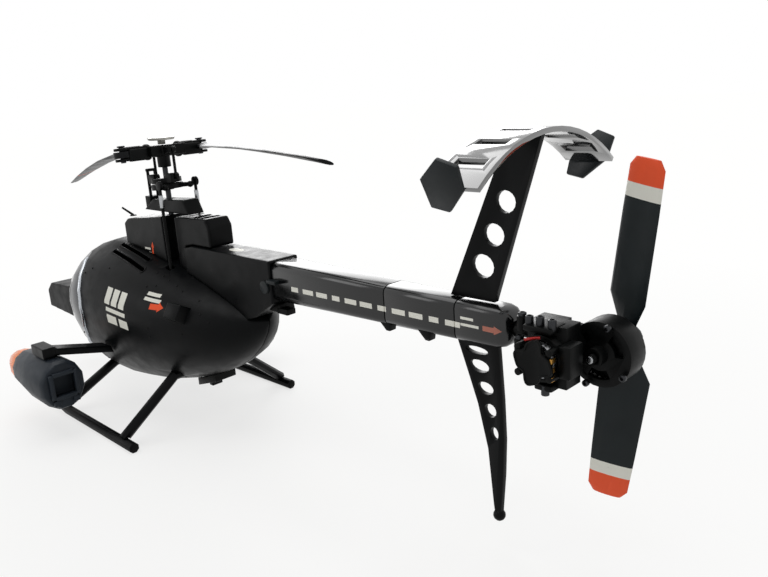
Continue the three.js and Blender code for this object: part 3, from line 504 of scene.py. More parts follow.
def slot_shade_sheet(rows, thickness=0.12):
    """A thin near black sheet of painted shade through rows of points that lie across a skin."""
    width = len(rows[0])
    mesh = bpy.data.meshes.new("slot")
    faces = []
    for row in range(len(rows) - 1):
        for column in range(width - 1):
            first = row * width + column
            faces.append((first, first + 1, first + width + 1, first + width))
    mesh.from_pydata([point for row in rows for point in row], [], faces)
    piece = bpy.data.objects.new("slot", mesh)
    bpy.context.scene.collection.objects.link(piece)
    modify(piece, "SOLIDIFY", thickness=thickness * MM, offset=0)
    return piece


def surface_of(pieces):
    """A search tree over finished pieces, for setting small parts on their skin."""
    shape = bmesh.new()
    for piece in pieces:
        shape.from_mesh(piece.data)
    found = BVHTree.FromBMesh(shape)
    shape.free()
    return found


def skin_point(tree, start, direction):
    """Where a line meets the skin, and the skin's normal there."""
    place, normal = tree.ray_cast(start, direction)[:2]
    if place is None:
        raise RuntimeError("a small part found no surface to sit on")
    return place, normal


def facing(place, normal, along=Vector((0, 1, 0))):
    """A matrix at a place whose z is the normal and whose y runs along."""
    side = along.cross(normal).normalized()
    ahead = normal.cross(side)
    made = Matrix((side, ahead, normal)).transposed().to_4x4()
    made.translation = place
    return made


def stand_in(piece, node, finish, smooth):
    """Smooths a finished copy, gives it its surface and lets it replace its CAD node."""
    source = frame["nodes"][node]
    alone(piece)
    bpy.ops.object.shade_smooth_by_angle(angle=math.radians(smooth))
    piece.data.materials.clear()
    piece.data.materials.append(Finishes.get(finish))
    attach(piece, source["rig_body"])
    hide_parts(node)
    return piece


# ---------------------------------------------------------------- pieces


class Finishes:
    """Every surface of the helicopter, made once and shared by its pieces."""

    made = {}
    # Colour, mean roughness, its drift, specular level, and grain and depth of the texture.
    plastics = {
        "frame_nylon": ("Glass filled black nylon", "frame", 0.42, 0.1, 0.1, 0.25, 0.006),
        "rubber": ("Black vinyl", "frame", 0.6, 0.08, 0.1, 0.3, 0.005),
        # shadow is painted shade: near black sheets laid in slots, where there is only shade.
        "shadow": ("Painted slot shade", "#020202", 0.95, 0.02, 0.0, 0.3, 0.002),
        "fin_plate": ("Satin grey ABS", "fin_plate", 0.4, 0.1, 0.2, 0.3, 0.004),
        "pod_barrel": ("Textured slate ABS", "pod", 0.45, 0.08, 0.2, 0.3, 0.01),
        "white_nylon": ("Natural white nylon", "#cfcec6", 0.35, 0.08, 0.5, 0.4, 0.004),
        "red_wire": ("Red silicone wire", "#a81e1c", 0.5, 0.06, 0.3, 0.5, 0.004),
        "battery_sleeve": ("Blue shrink sleeve", "#1d3f7a", 0.25, 0.08, 0.5, 3.0, 0.12),
    }
    # Colour, mean roughness, and how the drawn or turned lines are stretched and spaced.
    metals = {
        "window_rim": ("Bright plated trim", "#b9bdc2", 0.26),
        "steel": ("Ground steel", "#b4b6b8", 0.28, (1, 1, 8), 0.15),
        "motor_can": ("Drawn steel motor case", "#a9abae", 0.3, (1, 6, 1), 0.3),
        "dark_steel": ("Blackened steel screw", "#3a3b3d", 0.4, (1, 1, 1), 0.3),
        "copper": ("Brass terminal", "#b98b45", 0.35),
    }

    @classmethod
    def get(cls, name):
        if name in cls.made:
            return cls.made[name]
        colours = bpy.context.scene.helicopter_colours
        if name in cls.plastics:
            title, colour, *texture = cls.plastics[name]
            tint = linear(colour) if colour.startswith("#") else getattr(colours, colour)
            made = moulded(title, tint, *texture)
        elif name in cls.metals:
            title, colour, *lines = cls.metals[name]
            made = metal(title, linear(colour), *lines)
        else:
            made = getattr(cls, name)(colours)
        cls.made[name] = made
        return made

    @staticmethod
    def shell(colours):
        """Gloss black ABS: a dark body with a broad, slightly dull sheen and the side marks."""
        tilt = (math.radians(-4), 0, 0)
        bars = [(at(24, -6.6 + 5.0 * n, 51.6 - 0.35 * n), (9, 1.9, 3.0), tilt) for n in range(3)]
        bars.append((at(24, -0.8, 46.3), (9, 6.8, 0.75), tilt))
        bars.append((at(24, -3.6, 42.9), (9, 3.4, 1.7), tilt))
        bars.append((at(24, 4.4, 42.3), (9, 2.9, 1.7), tilt))
        bars.append((at(24, 19.0, 54.6), (9, 3.4, 0.5), tilt))
        bars.append((at(24, 19.6, 53.0), (9, 4.2, 0.5), tilt))

        def white(tree):
            return any_of(tree, [box_mask(tree, *bar) for bar in bars])

        def arrow(tree):
            return arrow_mask(tree, at(24, 23.0, 51.0), 6.6, 1.7, 12)

        made = moulded(
            "Gloss black ABS shell", colours.shell, 0.38, 0.08, 0.08, 0.3, 0.003,
            [(white, colours.white), (arrow, colours.bright)],
        )
        Finishes.glaze(made, colours)
        return made

    @staticmethod
    def glaze(made, colours):
        """Tints the shell ahead of each side window's rim like the nose glazing."""
        tree = made.node_tree
        shader = tree.nodes["Principled BSDF"]
        place = label_place(tree, at(0, WINDOW["station"], WINDOW["z"]))
        along = math_node(tree, "DIVIDE", place[1], WINDOW["half_length"] * MM)
        up = math_node(tree, "DIVIDE", place[2], WINDOW["half_height"] * MM)
        reach = squares(tree, along, up)
        outboard = math_node(tree, "GREATER_THAN", math_node(tree, "ABSOLUTE", place[0]), 12 * MM)
        inside = times(tree, math_node(tree, "LESS_THAN", reach, 1.0), outboard)
        for socket, value in (("Base Color", colours.glazing), ("Roughness", 0.06)):
            under = shader.inputs[socket].links[0].from_socket
            if socket == "Base Color":
                over = mixed(tree, inside, under, tuple(value))
            else:
                clear = math_node(tree, "SUBTRACT", 1.0, inside)
                over = math_node(
                    tree, "ADD", times(tree, under, clear),
                    times(tree, inside, value),
                )
            tree.links.new(over, shader.inputs[socket])

    @staticmethod
    def cowling(colours):
        """The same ABS with two bars and an upright arrow on the port side."""

        def white(tree):
            return any_of(tree, [
                box_mask(tree, at(6.5, -3.6, 66.9), (1, 2.2, 0.4)),
                box_mask(tree, at(6.5, -3.8, 65.3), (1, 2.6, 0.4)),
            ])

        def arrow(tree):
            return arrow_mask(
                tree, at(6.5, 0.2, 67.2), 5.6, 1.0, 1, (math.radians(82), 0, 0)
            )

        return moulded(
            "Gloss black ABS cowling", colours.shell, 0.34, 0.08, 0.09, 0.3, 0.003,
            [(white, colours.white), (arrow, colours.bright)],
        )

    @staticmethod
    def fairing(colours):
        """The same ABS with a plain white oval painted on top."""
        return moulded(
            "Gloss black ABS fairing", colours.shell, 0.34, 0.08, 0.09, 0.3, 0.003,
            # A plain white oval painted on top of the fairing.
            [(lambda tree: oval_mask(tree, at(0.4, 47.5, 70.5), (1.9, 3.6, 1.5)), colours.white)],
        )

    @staticmethod
    def boom(colours):
        """Extruded and painted boom: satin black with a row of dashes down its port side."""
        dashes = [(84 + 6.2 * n, 2.4 if n % 3 else 1.6) for n in range(11)]

        def white(tree):
            masks = [
                box_mask(tree, at(6, station, 62.9), (4, half, 0.75)) for station, half in dashes
            ]
            masks.append(box_mask(tree, at(6, 150.6, 65.0), (4, 2.0, 0.35)))
            masks.append(box_mask(tree, at(6, 151.4, 63.3), (4, 2.8, 0.35)))
            return any_of(tree, masks)

        def arrow(tree):
            return arrow_mask(tree, at(6, 158.2, 63.4), 5.4, 1.2, 4)

        return moulded(
            "Painted black boom", colours.shell, 0.16, 0.05, 0.5, 0.3, 0.001,
            [(white, colours.white), (arrow, colours.faded)],
        )

    @staticmethod
    def stabiliser_skin(colours):
        """Polished black ABS that throws the sky back off its top."""
        made = moulded("Polished black ABS", colours.frame, 0.14, 0.04, 1.0, 0.4, 0.002)
        shader = made.node_tree.nodes["Principled BSDF"]
        shader.inputs["Coat Weight"].default_value = 1.0
        shader.inputs["Coat IOR"].default_value = 1.9
        shader.inputs["Coat Roughness"].default_value = 0.1
        return made

    @staticmethod
    def pod_tip(colours):
        """Dyed polycarbonate: orange, glossy and a little translucent."""
        made = moulded("Orange polycarbonate", colours.amber, 0.24, 0.05, 0.5, 0.5, 0.003)
        shader = made.node_tree.nodes["Principled BSDF"]
        shader.inputs["Subsurface Weight"].default_value = 0.25
        shader.inputs["Subsurface Radius"].default_value = (0.004, 0.0015, 0.0008)
        shader.inputs["Subsurface Scale"].default_value = 1.0
        return made

    @staticmethod
    def glazing(colours):
        """Smoked polycarbonate over a dark cabin: near black with a clear, sharp gloss."""
        made = moulded("Smoked polycarbonate", colours.glazing, 0.07, 0.03, 0.6, 2.0, 0.001)
        made.node_tree.nodes["Principled BSDF"].inputs["Coat Weight"].default_value = 0.6
        return made

    @staticmethod
    def circuit_board(colours):
        """Green solder mask over copper tracks."""
        made, tree, shader = new_material("Green circuit board")
        tracks = add_node(
            tree, "TexBrick",
            {
                "Vector": object_place(tree), "Scale": 1 / (9 * MM), "Mortar Size": 0.03,
                "Color1": (*linear("#0f5a2c"), 1), "Color2": (*linear("#157038"), 1),
                "Mortar": (*linear("#2f8f55"), 1),
            },
        )
        tree.links.new(tracks.outputs["Color"], shader.inputs["Base Color"])
        shader.inputs["Roughness"].default_value = 0.35
        return made

    @staticmethod
    def main_blade(colours):
        """Moulded nylon blade: black, with one narrow orange stripe near its tip."""
        low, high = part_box("main_blade_left")
        tip = low.y if abs(low.y - MAST_LOW.y) > abs(high.y - MAST_LOW.y) else high.y

        def stripe(tree):
            centre = (low + high) / 2
            towards = 1 if tip == high.y else -1
            return box_mask(
                tree, Vector((centre.x, tip - towards * 33 * MM, centre.z)), (60, 0.8, 30)
            )

        return moulded(
            "Moulded blade nylon", linear("#0d0e10"), 0.36, 0.06, 0.12, 1.2, 0.002,
            [(stripe, colours.bright)],
        )

    @staticmethod
    def tail_blade(colours):
        """Blade nylon, scratched, with a white band and an orange tip at both ends."""
        low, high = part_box("tail_rotor")
        centre = (low + high) / 2
        lean = (math.radians(-7.4), 0, 0)
        reach = (high.z - low.z) / 2 / MM

        def band(inner, outer):
            middle, half = (inner + outer) / 2, (outer - inner) / 2

            def maker(tree):
                along = label_place(tree, centre, lean)[2]
                away = math_node(tree, "ABSOLUTE", along)
                return math_node(tree, "COMPARE", away, middle * MM, half * MM)

            return maker

        return moulded(
            "Scratched blade nylon", colours.blade, 0.4, 0.1, 0.2, 0.3, 0.003,
            [
                (band(reach - 9.3, reach - 6.0), colours.white),
                (band(reach - 6.0, reach + 9.0), colours.bright),
            ],
        )


class HelicopterOperator:
    """What every building operator shares."""

    bl_options = {"REGISTER", "UNDO"}

    def execute(self, context):
        mode("OBJECT")
        self.build(context.scene.helicopter_sizes)
        return {"FINISHED"}


class HELICOPTER_OT_fuselage(HelicopterOperator, bpy.types.Operator):
    """Body shells with their louvres, scoops, rivets, window rim and nose"""

    bl_idname = "helicopter.fuselage"
    bl_label = "Fuselage"

    def build(self, sizes):
        covers = [
            finish_node(f"fuselage_{word}_shell", "shell", 0.2, 40) for side, word in SIDES
        ]
        covers.append(finish_node("nose_canopy", "glazing", 0.15, 45))
        skin = surface_of(covers)

        for side, word in SIDES:
            self.window_rim(skin, side, word, sizes)
            self.louvres(skin, side, word, sizes)
            self.scoop(skin, side, word)
            self.rivets(skin, side, word, sizes)
        melt_node("nose_sensor_housing", "frame_nylon", 0.35, 8)
        finish_node("belly_block", "frame_nylon", 0.3)
        self.nose_details()
        self.belly_bar()
        finish_node("power_switch", "frame_nylon", 0.1)

    def window_rim(self, skin, side, word, sizes):
        """A bright half-round trim behind each side window."""
        ring = []
        for step in range(-17, 16):
            turn = math.radians(step * 4)
            station = WINDOW["station"] + WINDOW["half_length"] * math.cos(turn)
            z = WINDOW["z"] + WINDOW["half_height"] * math.sin(turn)
            start = at(side * OUTBOARD, station, z)
            ring.append(skin_point(skin, start, Vector((-side, 0, 0)))[0])
        rim = wire(ring, sizes.window_rim / MM / 2, 10)
        settle_parts([rim], f"window_rim_{word}", "window_rim", smooth=60)

    def louvres(self, skin, side, word, sizes):
        """Slots over each shoulder, drawn as near black sheets of painted shade on the skin, with a
        thin raised lip round each.
        """
        slot_ends = (((12.3, -21), (14.0, 5)), ((8, -22), (9.5, 2)))
        for number, (start, end) in enumerate(slot_ends):
            half = sizes.louvre_shade / MM / 2 + 0.35
            points = [(half, n / 12) for n in range(13)]
            points += [(-half, n / 12) for n in range(12, -1, -1)]
            ring = []
            for across, share in points:
                x, y = (a + (b - a) * share for a, b in zip(start, end))
                start_place = at(side * (x + across), y, OVERHEAD)
                place, normal = skin_point(skin, start_place, Vector((0, 0, -1)))
                ring.append(place + normal * 0.05 * MM)
            ring.append(ring[0])
            lip = wire(ring, 0.22, 8)
            tag = f"{word}_{number + 1}"
            settle_parts([lip], f"louvre_lip_{tag}", "shell", smooth=60)
            # Painted shade: a near black sheet on the skin stands in for the shade down the slot.
            rows = []
            for share in [n / 24 for n in range(25)]:
                end_round = math.sqrt(max(0.04, 1 - max(0, abs(share - 0.5) * 26 - 12.2) ** 2))
                x, y = (a + (b - a) * share for a, b in zip(start, end))
                row = []
                for across in (-1, -0.5, 0, 0.5, 1):
                    reach = across * end_round * sizes.louvre_shade / MM / 2
                    place, normal = skin_point(
                        skin, at(side * (x + reach), y, OVERHEAD), Vector((0, 0, -1))
                    )
                    row.append(place + normal * 0.02 * MM)
                rows.append(row)
            settle_parts([slot_shade_sheet(rows)], f"louvre_{tag}", "shadow", smooth=60)

    def scoop(self, skin, side, word):
        """A boxy air scoop on the flank with an open, sunk mouth facing forward."""
        place, normal = skin_point(skin, at(side * OUTBOARD, 34.2, 49.8), Vector((-side, 0, 0)))
        piece = primitive("cube", size=1, scale=Vector((6.4, 8.0, 5.2)) * MM)
        bpy.ops.object.transform_apply(scale=True)
        mode("EDIT")
        pick_faces(piece, lambda spot, way: way.z > 0.5)
        bpy.ops.transform.resize(value=(0.86, 0.72, 1))
        bpy.ops.transform.translate(value=(0, -0.9 * MM, 0))
        pick_faces(piece, lambda spot, way: way.y < -0.5)
        bpy.ops.mesh.inset(thickness=0.6 * MM)
        extrude(0, 3.2 * MM, 0)
        mode("OBJECT")
        round_edges(piece, 0.45 * MM, 3)
        piece.matrix_world = facing(place + normal * 0.9 * MM, normal)
        settle_parts([piece], f"scoop_{word}", "cowling")

    def rivets(self, skin, side, word, sizes):
        """Domed rivets along the shell's frames, each set on the skin."""
        spots = (
            (12, 60.4), (16, 59.6), (20, 58.6), (25, 57.2), (13, 56.6), (17, 57.0), (29, 55.9),
            (42, 50.0), (46, 47.6), (26, 59.2), (38, 53.6), (-30, 57), (-26, 59), (-34, 54.5),
            (-14, 60.3), (20, 43.5), (20, 40), (36, 43), (-40, 30), (-36, 24), (-30, 19.5),
            (5, 17.5), (15, 18.5), (25, 20.5),
        )
        dome = primitive(
            "uv_sphere", segments=12, ring_count=8, radius=sizes.rivet, scale=(1, 1, 0.5)
        )
        bpy.ops.object.transform_apply(scale=True)
        heads = []
        for y, z in spots:
            place, normal = skin_point(skin, at(side * OUTBOARD, y, z), Vector((-side, 0, 0)))
            heads.append(copy_of(dome, facing(place, normal)))
        bpy.data.objects.remove(dome)
        settle_parts(heads, f"rivets_{word}", "rubber", smooth=60)

    def nose_details(self):
        """A dark lens ring in the face of the nose sensor box."""
        low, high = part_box("nose_sensor_housing")
        middle = (low + high) / 2
        face = turned(
            Vector((0, low.y + 0.3 * MM, middle.z - 1.5 * MM)), 4.2, 1.4, "Y", 36, 0.2, 0.7
        )
        settle_parts([face], "nose_lens", "glazing")

    def belly_bar(self):
        """The ribbed bar under the belly that holds the power switch."""
        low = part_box("belly_block")[0]
        bars = []
        for step in (-3.2, 0, 3.2):
            centre = Vector((step * MM, low.y - 0.2 * MM, low.z + 1.6 * MM))
            bars.append(soft_block(centre, (1.2, 0.9, 2.0), edge=0.2))
        settle_parts(bars, "belly_ribs", "frame_nylon")


class HELICOPTER_OT_cowling(HelicopterOperator, bpy.types.Operator):
    """Cowling over the mast's foot, its louvres and the whip antenna"""

    bl_idname = "helicopter.cowling"
    bl_label = "Cowling and antenna"

    def build(self, sizes):
        self.top_louvres()
        melt_node("cowling_front", "cowling", 0.3, 14)
        melt_node("cowling_rear", "cowling", 0.3, 14)
        melt_node("mast_housing", "frame_nylon", 0.3, 14)
        finish_node("whip_antenna", "rubber", 0.1, 50)
        finish_node("anti_rotation_guide", "frame_nylon", 0.2, 50)

    def top_louvres(self):
        """Three slots across the rear box's lid, drawn as near black sheets of painted shade."""
        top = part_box("cowling_rear")[1].z + 0.03 * MM
        shade_sheets = []
        for station in (24.0, 28.5, 33.0):
            start = at(0, station, 0).y
            rows = []
            for share in [n / 12 for n in range(13)]:
                x = (-3.2 + 6.4 * share) * MM
                half = 0.55 * math.sqrt(max(0.05, 1 - (abs(share - 0.5) * 2) ** 12)) * MM
                rows.append([Vector((x, start - half, top)), Vector((x, start + half, top))])
            # Each slot is a near black sheet of painted shade laid on the lid.
            shade_sheets.append(slot_shade_sheet(rows, 0.08))
        settle_parts(shade_sheets, "cowling_louvre_shade", "shadow", smooth=60)


class HELICOPTER_OT_boom(HelicopterOperator, bpy.types.Operator):
    """Tail boom, its root fairing, clips and tail cone"""

    bl_idname = "helicopter.boom"
    bl_label = "Tail boom"

    def build(self, sizes):
        melt_node("boom_fairing", "fairing", 0.4, 8)
        finish_node("tail_boom_front", "boom", 0.15)
        finish_node("tail_boom_rear", "boom", 0.15)
        finish_node("tail_cone", "boom", 0.1, 45)
        self.side_tabs()
        self.under_clips()
        self.root_block()

    def side_tabs(self):
        """A ring boss and a tab on each side where the boom meets the fairing."""
        for side, word in SIDES:
            parts = []
            parts.append(turned(at(side * 5.9, 69.6, 61.8), 2.1, 1.5, "X", 28, 0.15, 0.6))
            parts.append(soft_block(at(side * 6.3, 74.4, 64.2), (2.2, 4.6, 1.2), edge=0.25))
            settle_parts(parts, f"boom_tab_{word}", "fin_plate")

    def under_clips(self):
        """Wedge clips that hook under the boom."""
        clips = []
        for station in (121, 135.5):
            piece = primitive("cube", size=1, scale=Vector((3.2, 4.2, 2.8)) * MM)
            bpy.ops.object.transform_apply(scale=True)
            mode("EDIT")
            pick_faces(piece, lambda spot, way: way.z < -0.5)
            bpy.ops.transform.resize(value=(0.8, 0.35, 1))
            bpy.ops.transform.translate(value=(0, 1.1 * MM, 0))
            mode("OBJECT")
            round_edges(piece, 0.25 * MM)
            piece.matrix_world = Matrix.Translation(at(2.4, station, 57.6))
            clips.append(piece)
        settle_parts(clips, "boom_clips", "frame_nylon")

    def root_block(self):
        """The stepped block under the boom's root."""
        base = soft_block(at(0, 67.5, 54.2), (6.4, 10, 3.0), edge=0.4, narrow=0.94)
        step = soft_block(at(1.4, 73.5, 53.4), (3.6, 5.4, 2.0), edge=0.3)
        settle_parts([base, step], "boom_root_block", "frame_nylon")


class HELICOPTER_OT_tail(HelicopterOperator, bpy.types.Operator):
    """Fins, stabiliser, tail motor, gear housing and tail rotor"""

    bl_idname = "helicopter.tail"
    bl_label = "Tail"

    def build(self, sizes):
        for node in ("upper_fin", "lower_fin"):
            finish_node(node, "fairing", 0.2)
        finish_node("stabilizer", "stabiliser_skin", 0.12, 40)
        for node in ("endplate_left", "endplate_right"):
            finish_node(node, "fin_plate", 0.3)
        finish_node("tail_shaft_tube", "frame_nylon", 0.15)
        finish_node("tail_motor_housing", "frame_nylon", 0.25)
        finish_node("tail_gear_housing", "frame_nylon", 0.25)
        finish_node("tail_motor", "motor_can", 0.3)
        finish_node("tail_pinion", "copper", 0.03)
        finish_node("tail_gear", "frame_nylon", 0.04)
        finish_node("tail_rotor", "tail_blade", 0.08, 40)
        self.shaft_clamp(sizes)
        self.motor_plate(sizes)
        self.gear_details(sizes)

    def screw(self, place, axis, sizes, radius=None, length=1.2):
        """A cap screw with a sunk round socket, along an axis."""
        reach = sizes.screw / MM if radius is None else radius
        head = turned((0, 0, 0), reach, length, "Z", 20, 0.12)
        mode("EDIT")
        pick_faces(head, lambda spot, way: way.z > 0.9 and spot.length < 1)
        bpy.ops.mesh.inset(thickness=0.45 * reach * MM)
        extrude(0, 0, -0.5 * MM)
        mode("OBJECT")
        head.matrix_world = (
            Matrix.Translation(place) @ axis.to_track_quat("Z", "Y").to_matrix().to_4x4()
        )
        return head

    def shaft_clamp(self, sizes):
        """Two screw bosses that pinch the tail tube in the motor frame."""
        bosses, screws = [], []
        for x, station, z in ((3.2, 166.5, 66.6), (3.4, 165.8, 60.8)):
            bosses.append(turned(at(x, station, z), 1.35, 3.6, "Z", 24, 0.2))
            screws.append(self.screw(at(x, station, z + 2.0), Vector((0, 0, 1)), sizes, 1.0))
        settle_parts(bosses, "shaft_clamp", "frame_nylon")
        settle_parts(screws, "shaft_clamp_screws", "dark_steel")

    def motor_plate(self, sizes):
        """Curvy end plate of the tail motor with its notches, contacts, wires and screws."""
        low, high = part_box("tail_motor")
        centre = (low + high) / 2
        end = Vector((high.x, centre.y, centre.z))
        outline = []
        count = 48
        for n in range(count):
            turn = 2 * math.pi * n / count
            reach = 4.3 + 0.75 * math.cos(4 * turn + 0.6) - 0.25 * math.cos(8 * turn)
            outline.append((reach * math.cos(turn), 1.12 * reach * math.sin(turn)))
        piece = primitive("circle", vertices=count, radius=MM, fill_type="NGON")
        for vertex, (across, up) in zip(piece.data.vertices, outline):
            vertex.co = Vector((0, across * MM, up * MM))
        mode("EDIT")
        bpy.ops.mesh.select_all(action="SELECT")
        extrude(0.9 * MM, 0, 0)
        pick_faces(piece, lambda spot, way: spot.x > 0.8 * MM)
        bpy.ops.mesh.inset(thickness=0.5 * MM)
        extrude(-0.25 * MM, 0, 0)
        mode("OBJECT")
        round_edges(piece, 0.15 * MM)
        piece.matrix_world = Matrix.Translation(beside(end, 0.1, 0, 0))
        settle_parts([piece], "tail_motor_plate", "frame_nylon")
        posts = []
        for turn in (35, 145, 215, 325):
            angle = math.radians(turn)
            spot = beside(end, -1.6, 4.9 * math.cos(angle), 5.2 * math.sin(angle))
            posts.append(turned(spot, 0.85, 4.6, "X", 16, 0.15))
        cover = soft_block(beside(end, -4.6, 6.3, 0.4), (5.6, 3.0, 7.6), edge=0.5)
        lid = soft_block(beside(end, -5.0, -0.6, 6.7), (6.4, 7.4, 1.6), edge=0.5)
        keel = soft_block(beside(end, -5.0, 0.4, -6.9), (5.0, 4.6, 1.6), edge=0.5)
        settle_parts([*posts, cover, lid, keel], "tail_motor_posts", "frame_nylon")
        screws = [
            self.screw(beside(end, -3.4, across, up), Vector((0, 0, 1)), sizes, 0.95, 2.4)
            for across, up in ((-3.4, 8.0), (-0.6, 8.3), (2.4, 8.0), (0.6, -7.6))
        ]
        settle_parts(screws, "tail_motor_screws", "dark_steel")
        bends = ((-0.4, -2.6, 4.6), (0.3, -1.0, 5.3), (-1.0, 0.9, 5.5))
        lead = wire([beside(end, *bend) for bend in bends], 0.32)
        settle_parts([lead], "tail_motor_lead", "red_wire", smooth=60)
        tabs = [
            soft_block(beside(end, -0.2, 4.5, up), (1.6, 0.5, 1.1), edge=0.1)
            for up in (-3.0, -1.0, 1.2)
        ]
        settle_parts(tabs, "tail_motor_contacts", "copper")

    def gear_details(self, sizes):
        """Screws round the gear ring and a bright collar on the rotor's axle."""
        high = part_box("tail_gear_housing")[1]
        rotor_low, rotor_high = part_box("tail_rotor")
        centre = (rotor_low + rotor_high) / 2
        screws = []
        for degrees_round in (70, 205, 250, 330):
            turn = math.radians(degrees_round)
            spot = Vector((high.x, centre.y, centre.z))
            place = beside(spot, -1.4, 7.4 * math.cos(turn), 7.4 * math.sin(turn))
            screws.append(self.screw(place, Vector((1, 0, 0)), sizes, 0.8, 1.0))
        settle_parts(screws, "gear_ring_screws", "dark_steel")
        gear_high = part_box("tail_gear")[1]
        axle = turned(
            Vector((gear_high.x + 0.1 * MM, centre.y, centre.z)), 0.85, 0.9, "X", 24, 0.15, 0.3
        )
        settle_parts([axle], "tail_axle_end", "steel", "tail_rotor")


class HELICOPTER_OT_head(HelicopterOperator, bpy.types.Operator):
    """Rotor head, swash plate, links, rods and the main blades"""

    bl_idname = "helicopter.head"
    bl_label = "Rotor head and blades"

    def build(self, sizes):
        for node in ("rotor_hub", "swash_ball", "swash_lower_ring", "swash_upper_ring"):
            finish_node(node, "frame_nylon", 0.18)
        for node in ("rotor_link_rear", "rotor_link_front", "servo_rod_left", "servo_rod_right"):
            finish_node(node, "frame_nylon", 0.1, 45)
        melt_node("blade_holder", "frame_nylon", 0.2, 5)
        self.grip_covers()
        self.rod_sleeves()
        finish_node("mast", "dark_steel", 0.05)
        finish_node("head_button", "white_nylon", 0.15)
        for node in ("blade_bolt_left", "blade_bolt_right"):
            finish_node(node, "dark_steel", 0.15)
        for node in ("main_blade_left", "main_blade_right"):
            finish_node(node, "main_blade", 0.05, 50)

    def grip_covers(self):
        """Wavy side cheeks on the blade grips, which hide the gap between their ears."""
        low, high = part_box("blade_holder")
        middle = Vector((0, (low.y + high.y) / 2, (low.z + high.z) / 2))
        cheeks = []
        for side in (1, -1):
            for fore in (1, -1):
                place = beside(middle, side * 10.9, fore * 2.3, -fore * 0.3)
                cheeks.append(
                    soft_block(place, (8.0, 1.5, 4.4), edge=0.6, narrow=0.9, segments=3)
                )
            cheeks.append(
                turned(beside(middle, side * 6.4, 0, 0), 2.9, 1.6, "X", 24, 0.4)
            )
        settle_parts(cheeks, "grip_cheeks", "frame_nylon", "holder")

    def rod_sleeves(self):
        """Bright bare wire between each rod's black ball link and its lower sleeve."""
        for word in ("left", "right"):
            low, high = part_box(f"servo_rod_{word}")
            centre = (low + high) / 2
            bare = turned(
                Vector((centre.x, centre.y, high.z - 7.4 * MM)), 0.8, 4.6, "Z", 16, 0.1
            )
            settle_parts([bare], f"rod_wire_{word}", "steel", f"rod_{word}", 60)


class HELICOPTER_OT_gear(HelicopterOperator, bpy.types.Operator):
    """Skids and cross tubes"""

    bl_idname = "helicopter.gear"
    bl_label = "Landing gear"

    def build(self, sizes):
        for node in ("skid_left", "skid_right", "cross_tube_front", "cross_tube_rear"):
            finish_node(node, "fairing", 0.2, 40)
        caps = []
        for side in (1, -1):
            low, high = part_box("skid_left" if side > 0 else "skid_right")
            centre = Vector(((low.x + high.x) / 2, high.y - 0.1 * MM, at(0, 0, 1.85).z))
            caps.append(turned(centre, 1.15, 0.5, "Y", 24, 0.1, 0.3))
        settle_parts(caps, "skid_plugs", "rubber")


class HELICOPTER_OT_pods(HelicopterOperator, bpy.types.Operator):
    """Arms with the pods under their ends"""

    bl_idname = "helicopter.pods"
    bl_label = "Arms and pods"

    def build(self, sizes):
        for side, word in SIDES:
            melt_node(f"pylon_{word}", "fairing", 0.3, 6)
            finish_node(f"pod_{word}", "pod_barrel", 0.4, 40, segments=3)
            finish_node(f"pod_nose_{word}", "pod_tip", 0.15, 50)
            self.rear_frame(word)
            self.top_block(side, word)

    def rear_frame(self, word):
        """The raised frame round the opening in the pod's rear face, with two feet."""
        low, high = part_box(f"pod_{word}")
        centre = (low + high) / 2
        face = high.y
        bars = []
        for across, up, size in (
            (-4.6, 0.4, (1.6, 1.8, 9.6)), (4.6, 0.4, (1.6, 1.8, 9.6)),
            (0, 4.9, (8.0, 1.8, 1.6)), (0, -4.1, (8.0, 1.8, 1.6)),
            (-3.6, -6.0, (2.6, 1.4, 2.2)), (3.6, -6.0, (2.6, 1.4, 2.2)),
        ):
            place = Vector((centre.x + across * MM, face + 0.35 * MM, centre.z + up * MM))
            bars.append(soft_block(place, size, edge=0.35))
        settle_parts(bars, f"pod_frame_{word}", "pod_barrel")

    def top_block(self, side, word):
        """The cross block that clamps the pod under its arm."""
        low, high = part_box(f"pylon_{word}")
        pod_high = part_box(f"pod_{word}")[1]
        outer = high.x if side > 0 else low.x
        corner = Vector((outer, (low.y + high.y) / 2, pod_high.z))
        place = beside(corner, -side * 2.6, -1.0, 0.75)
        step = soft_block(place, (4.6, 11.0, 1.4), edge=0.4)
        settle_parts([step], f"pod_step_{word}", "pod_barrel")


class HELICOPTER_OT_insides(HelicopterOperator, bpy.types.Operator):
    """Chassis, motor, gears, battery, board and servos inside the body"""

    bl_idname = "helicopter.insides"
    bl_label = "Insides"

    def build(self, sizes):
        finish_node("chassis_frame", "frame_nylon", 0.25)
        finish_node("main_motor", "motor_can", 0.4)
        finish_node("main_pinion", "copper", 0.04)
        finish_node("main_gear", "white_nylon", 0.05)
        finish_node("battery_pack", "battery_sleeve", 1.6, segments=4)
        finish_node("control_board", "circuit_board", 0.1)
        for node in ("servo_left", "servo_right"):
            finish_node(node, "frame_nylon", 0.4)


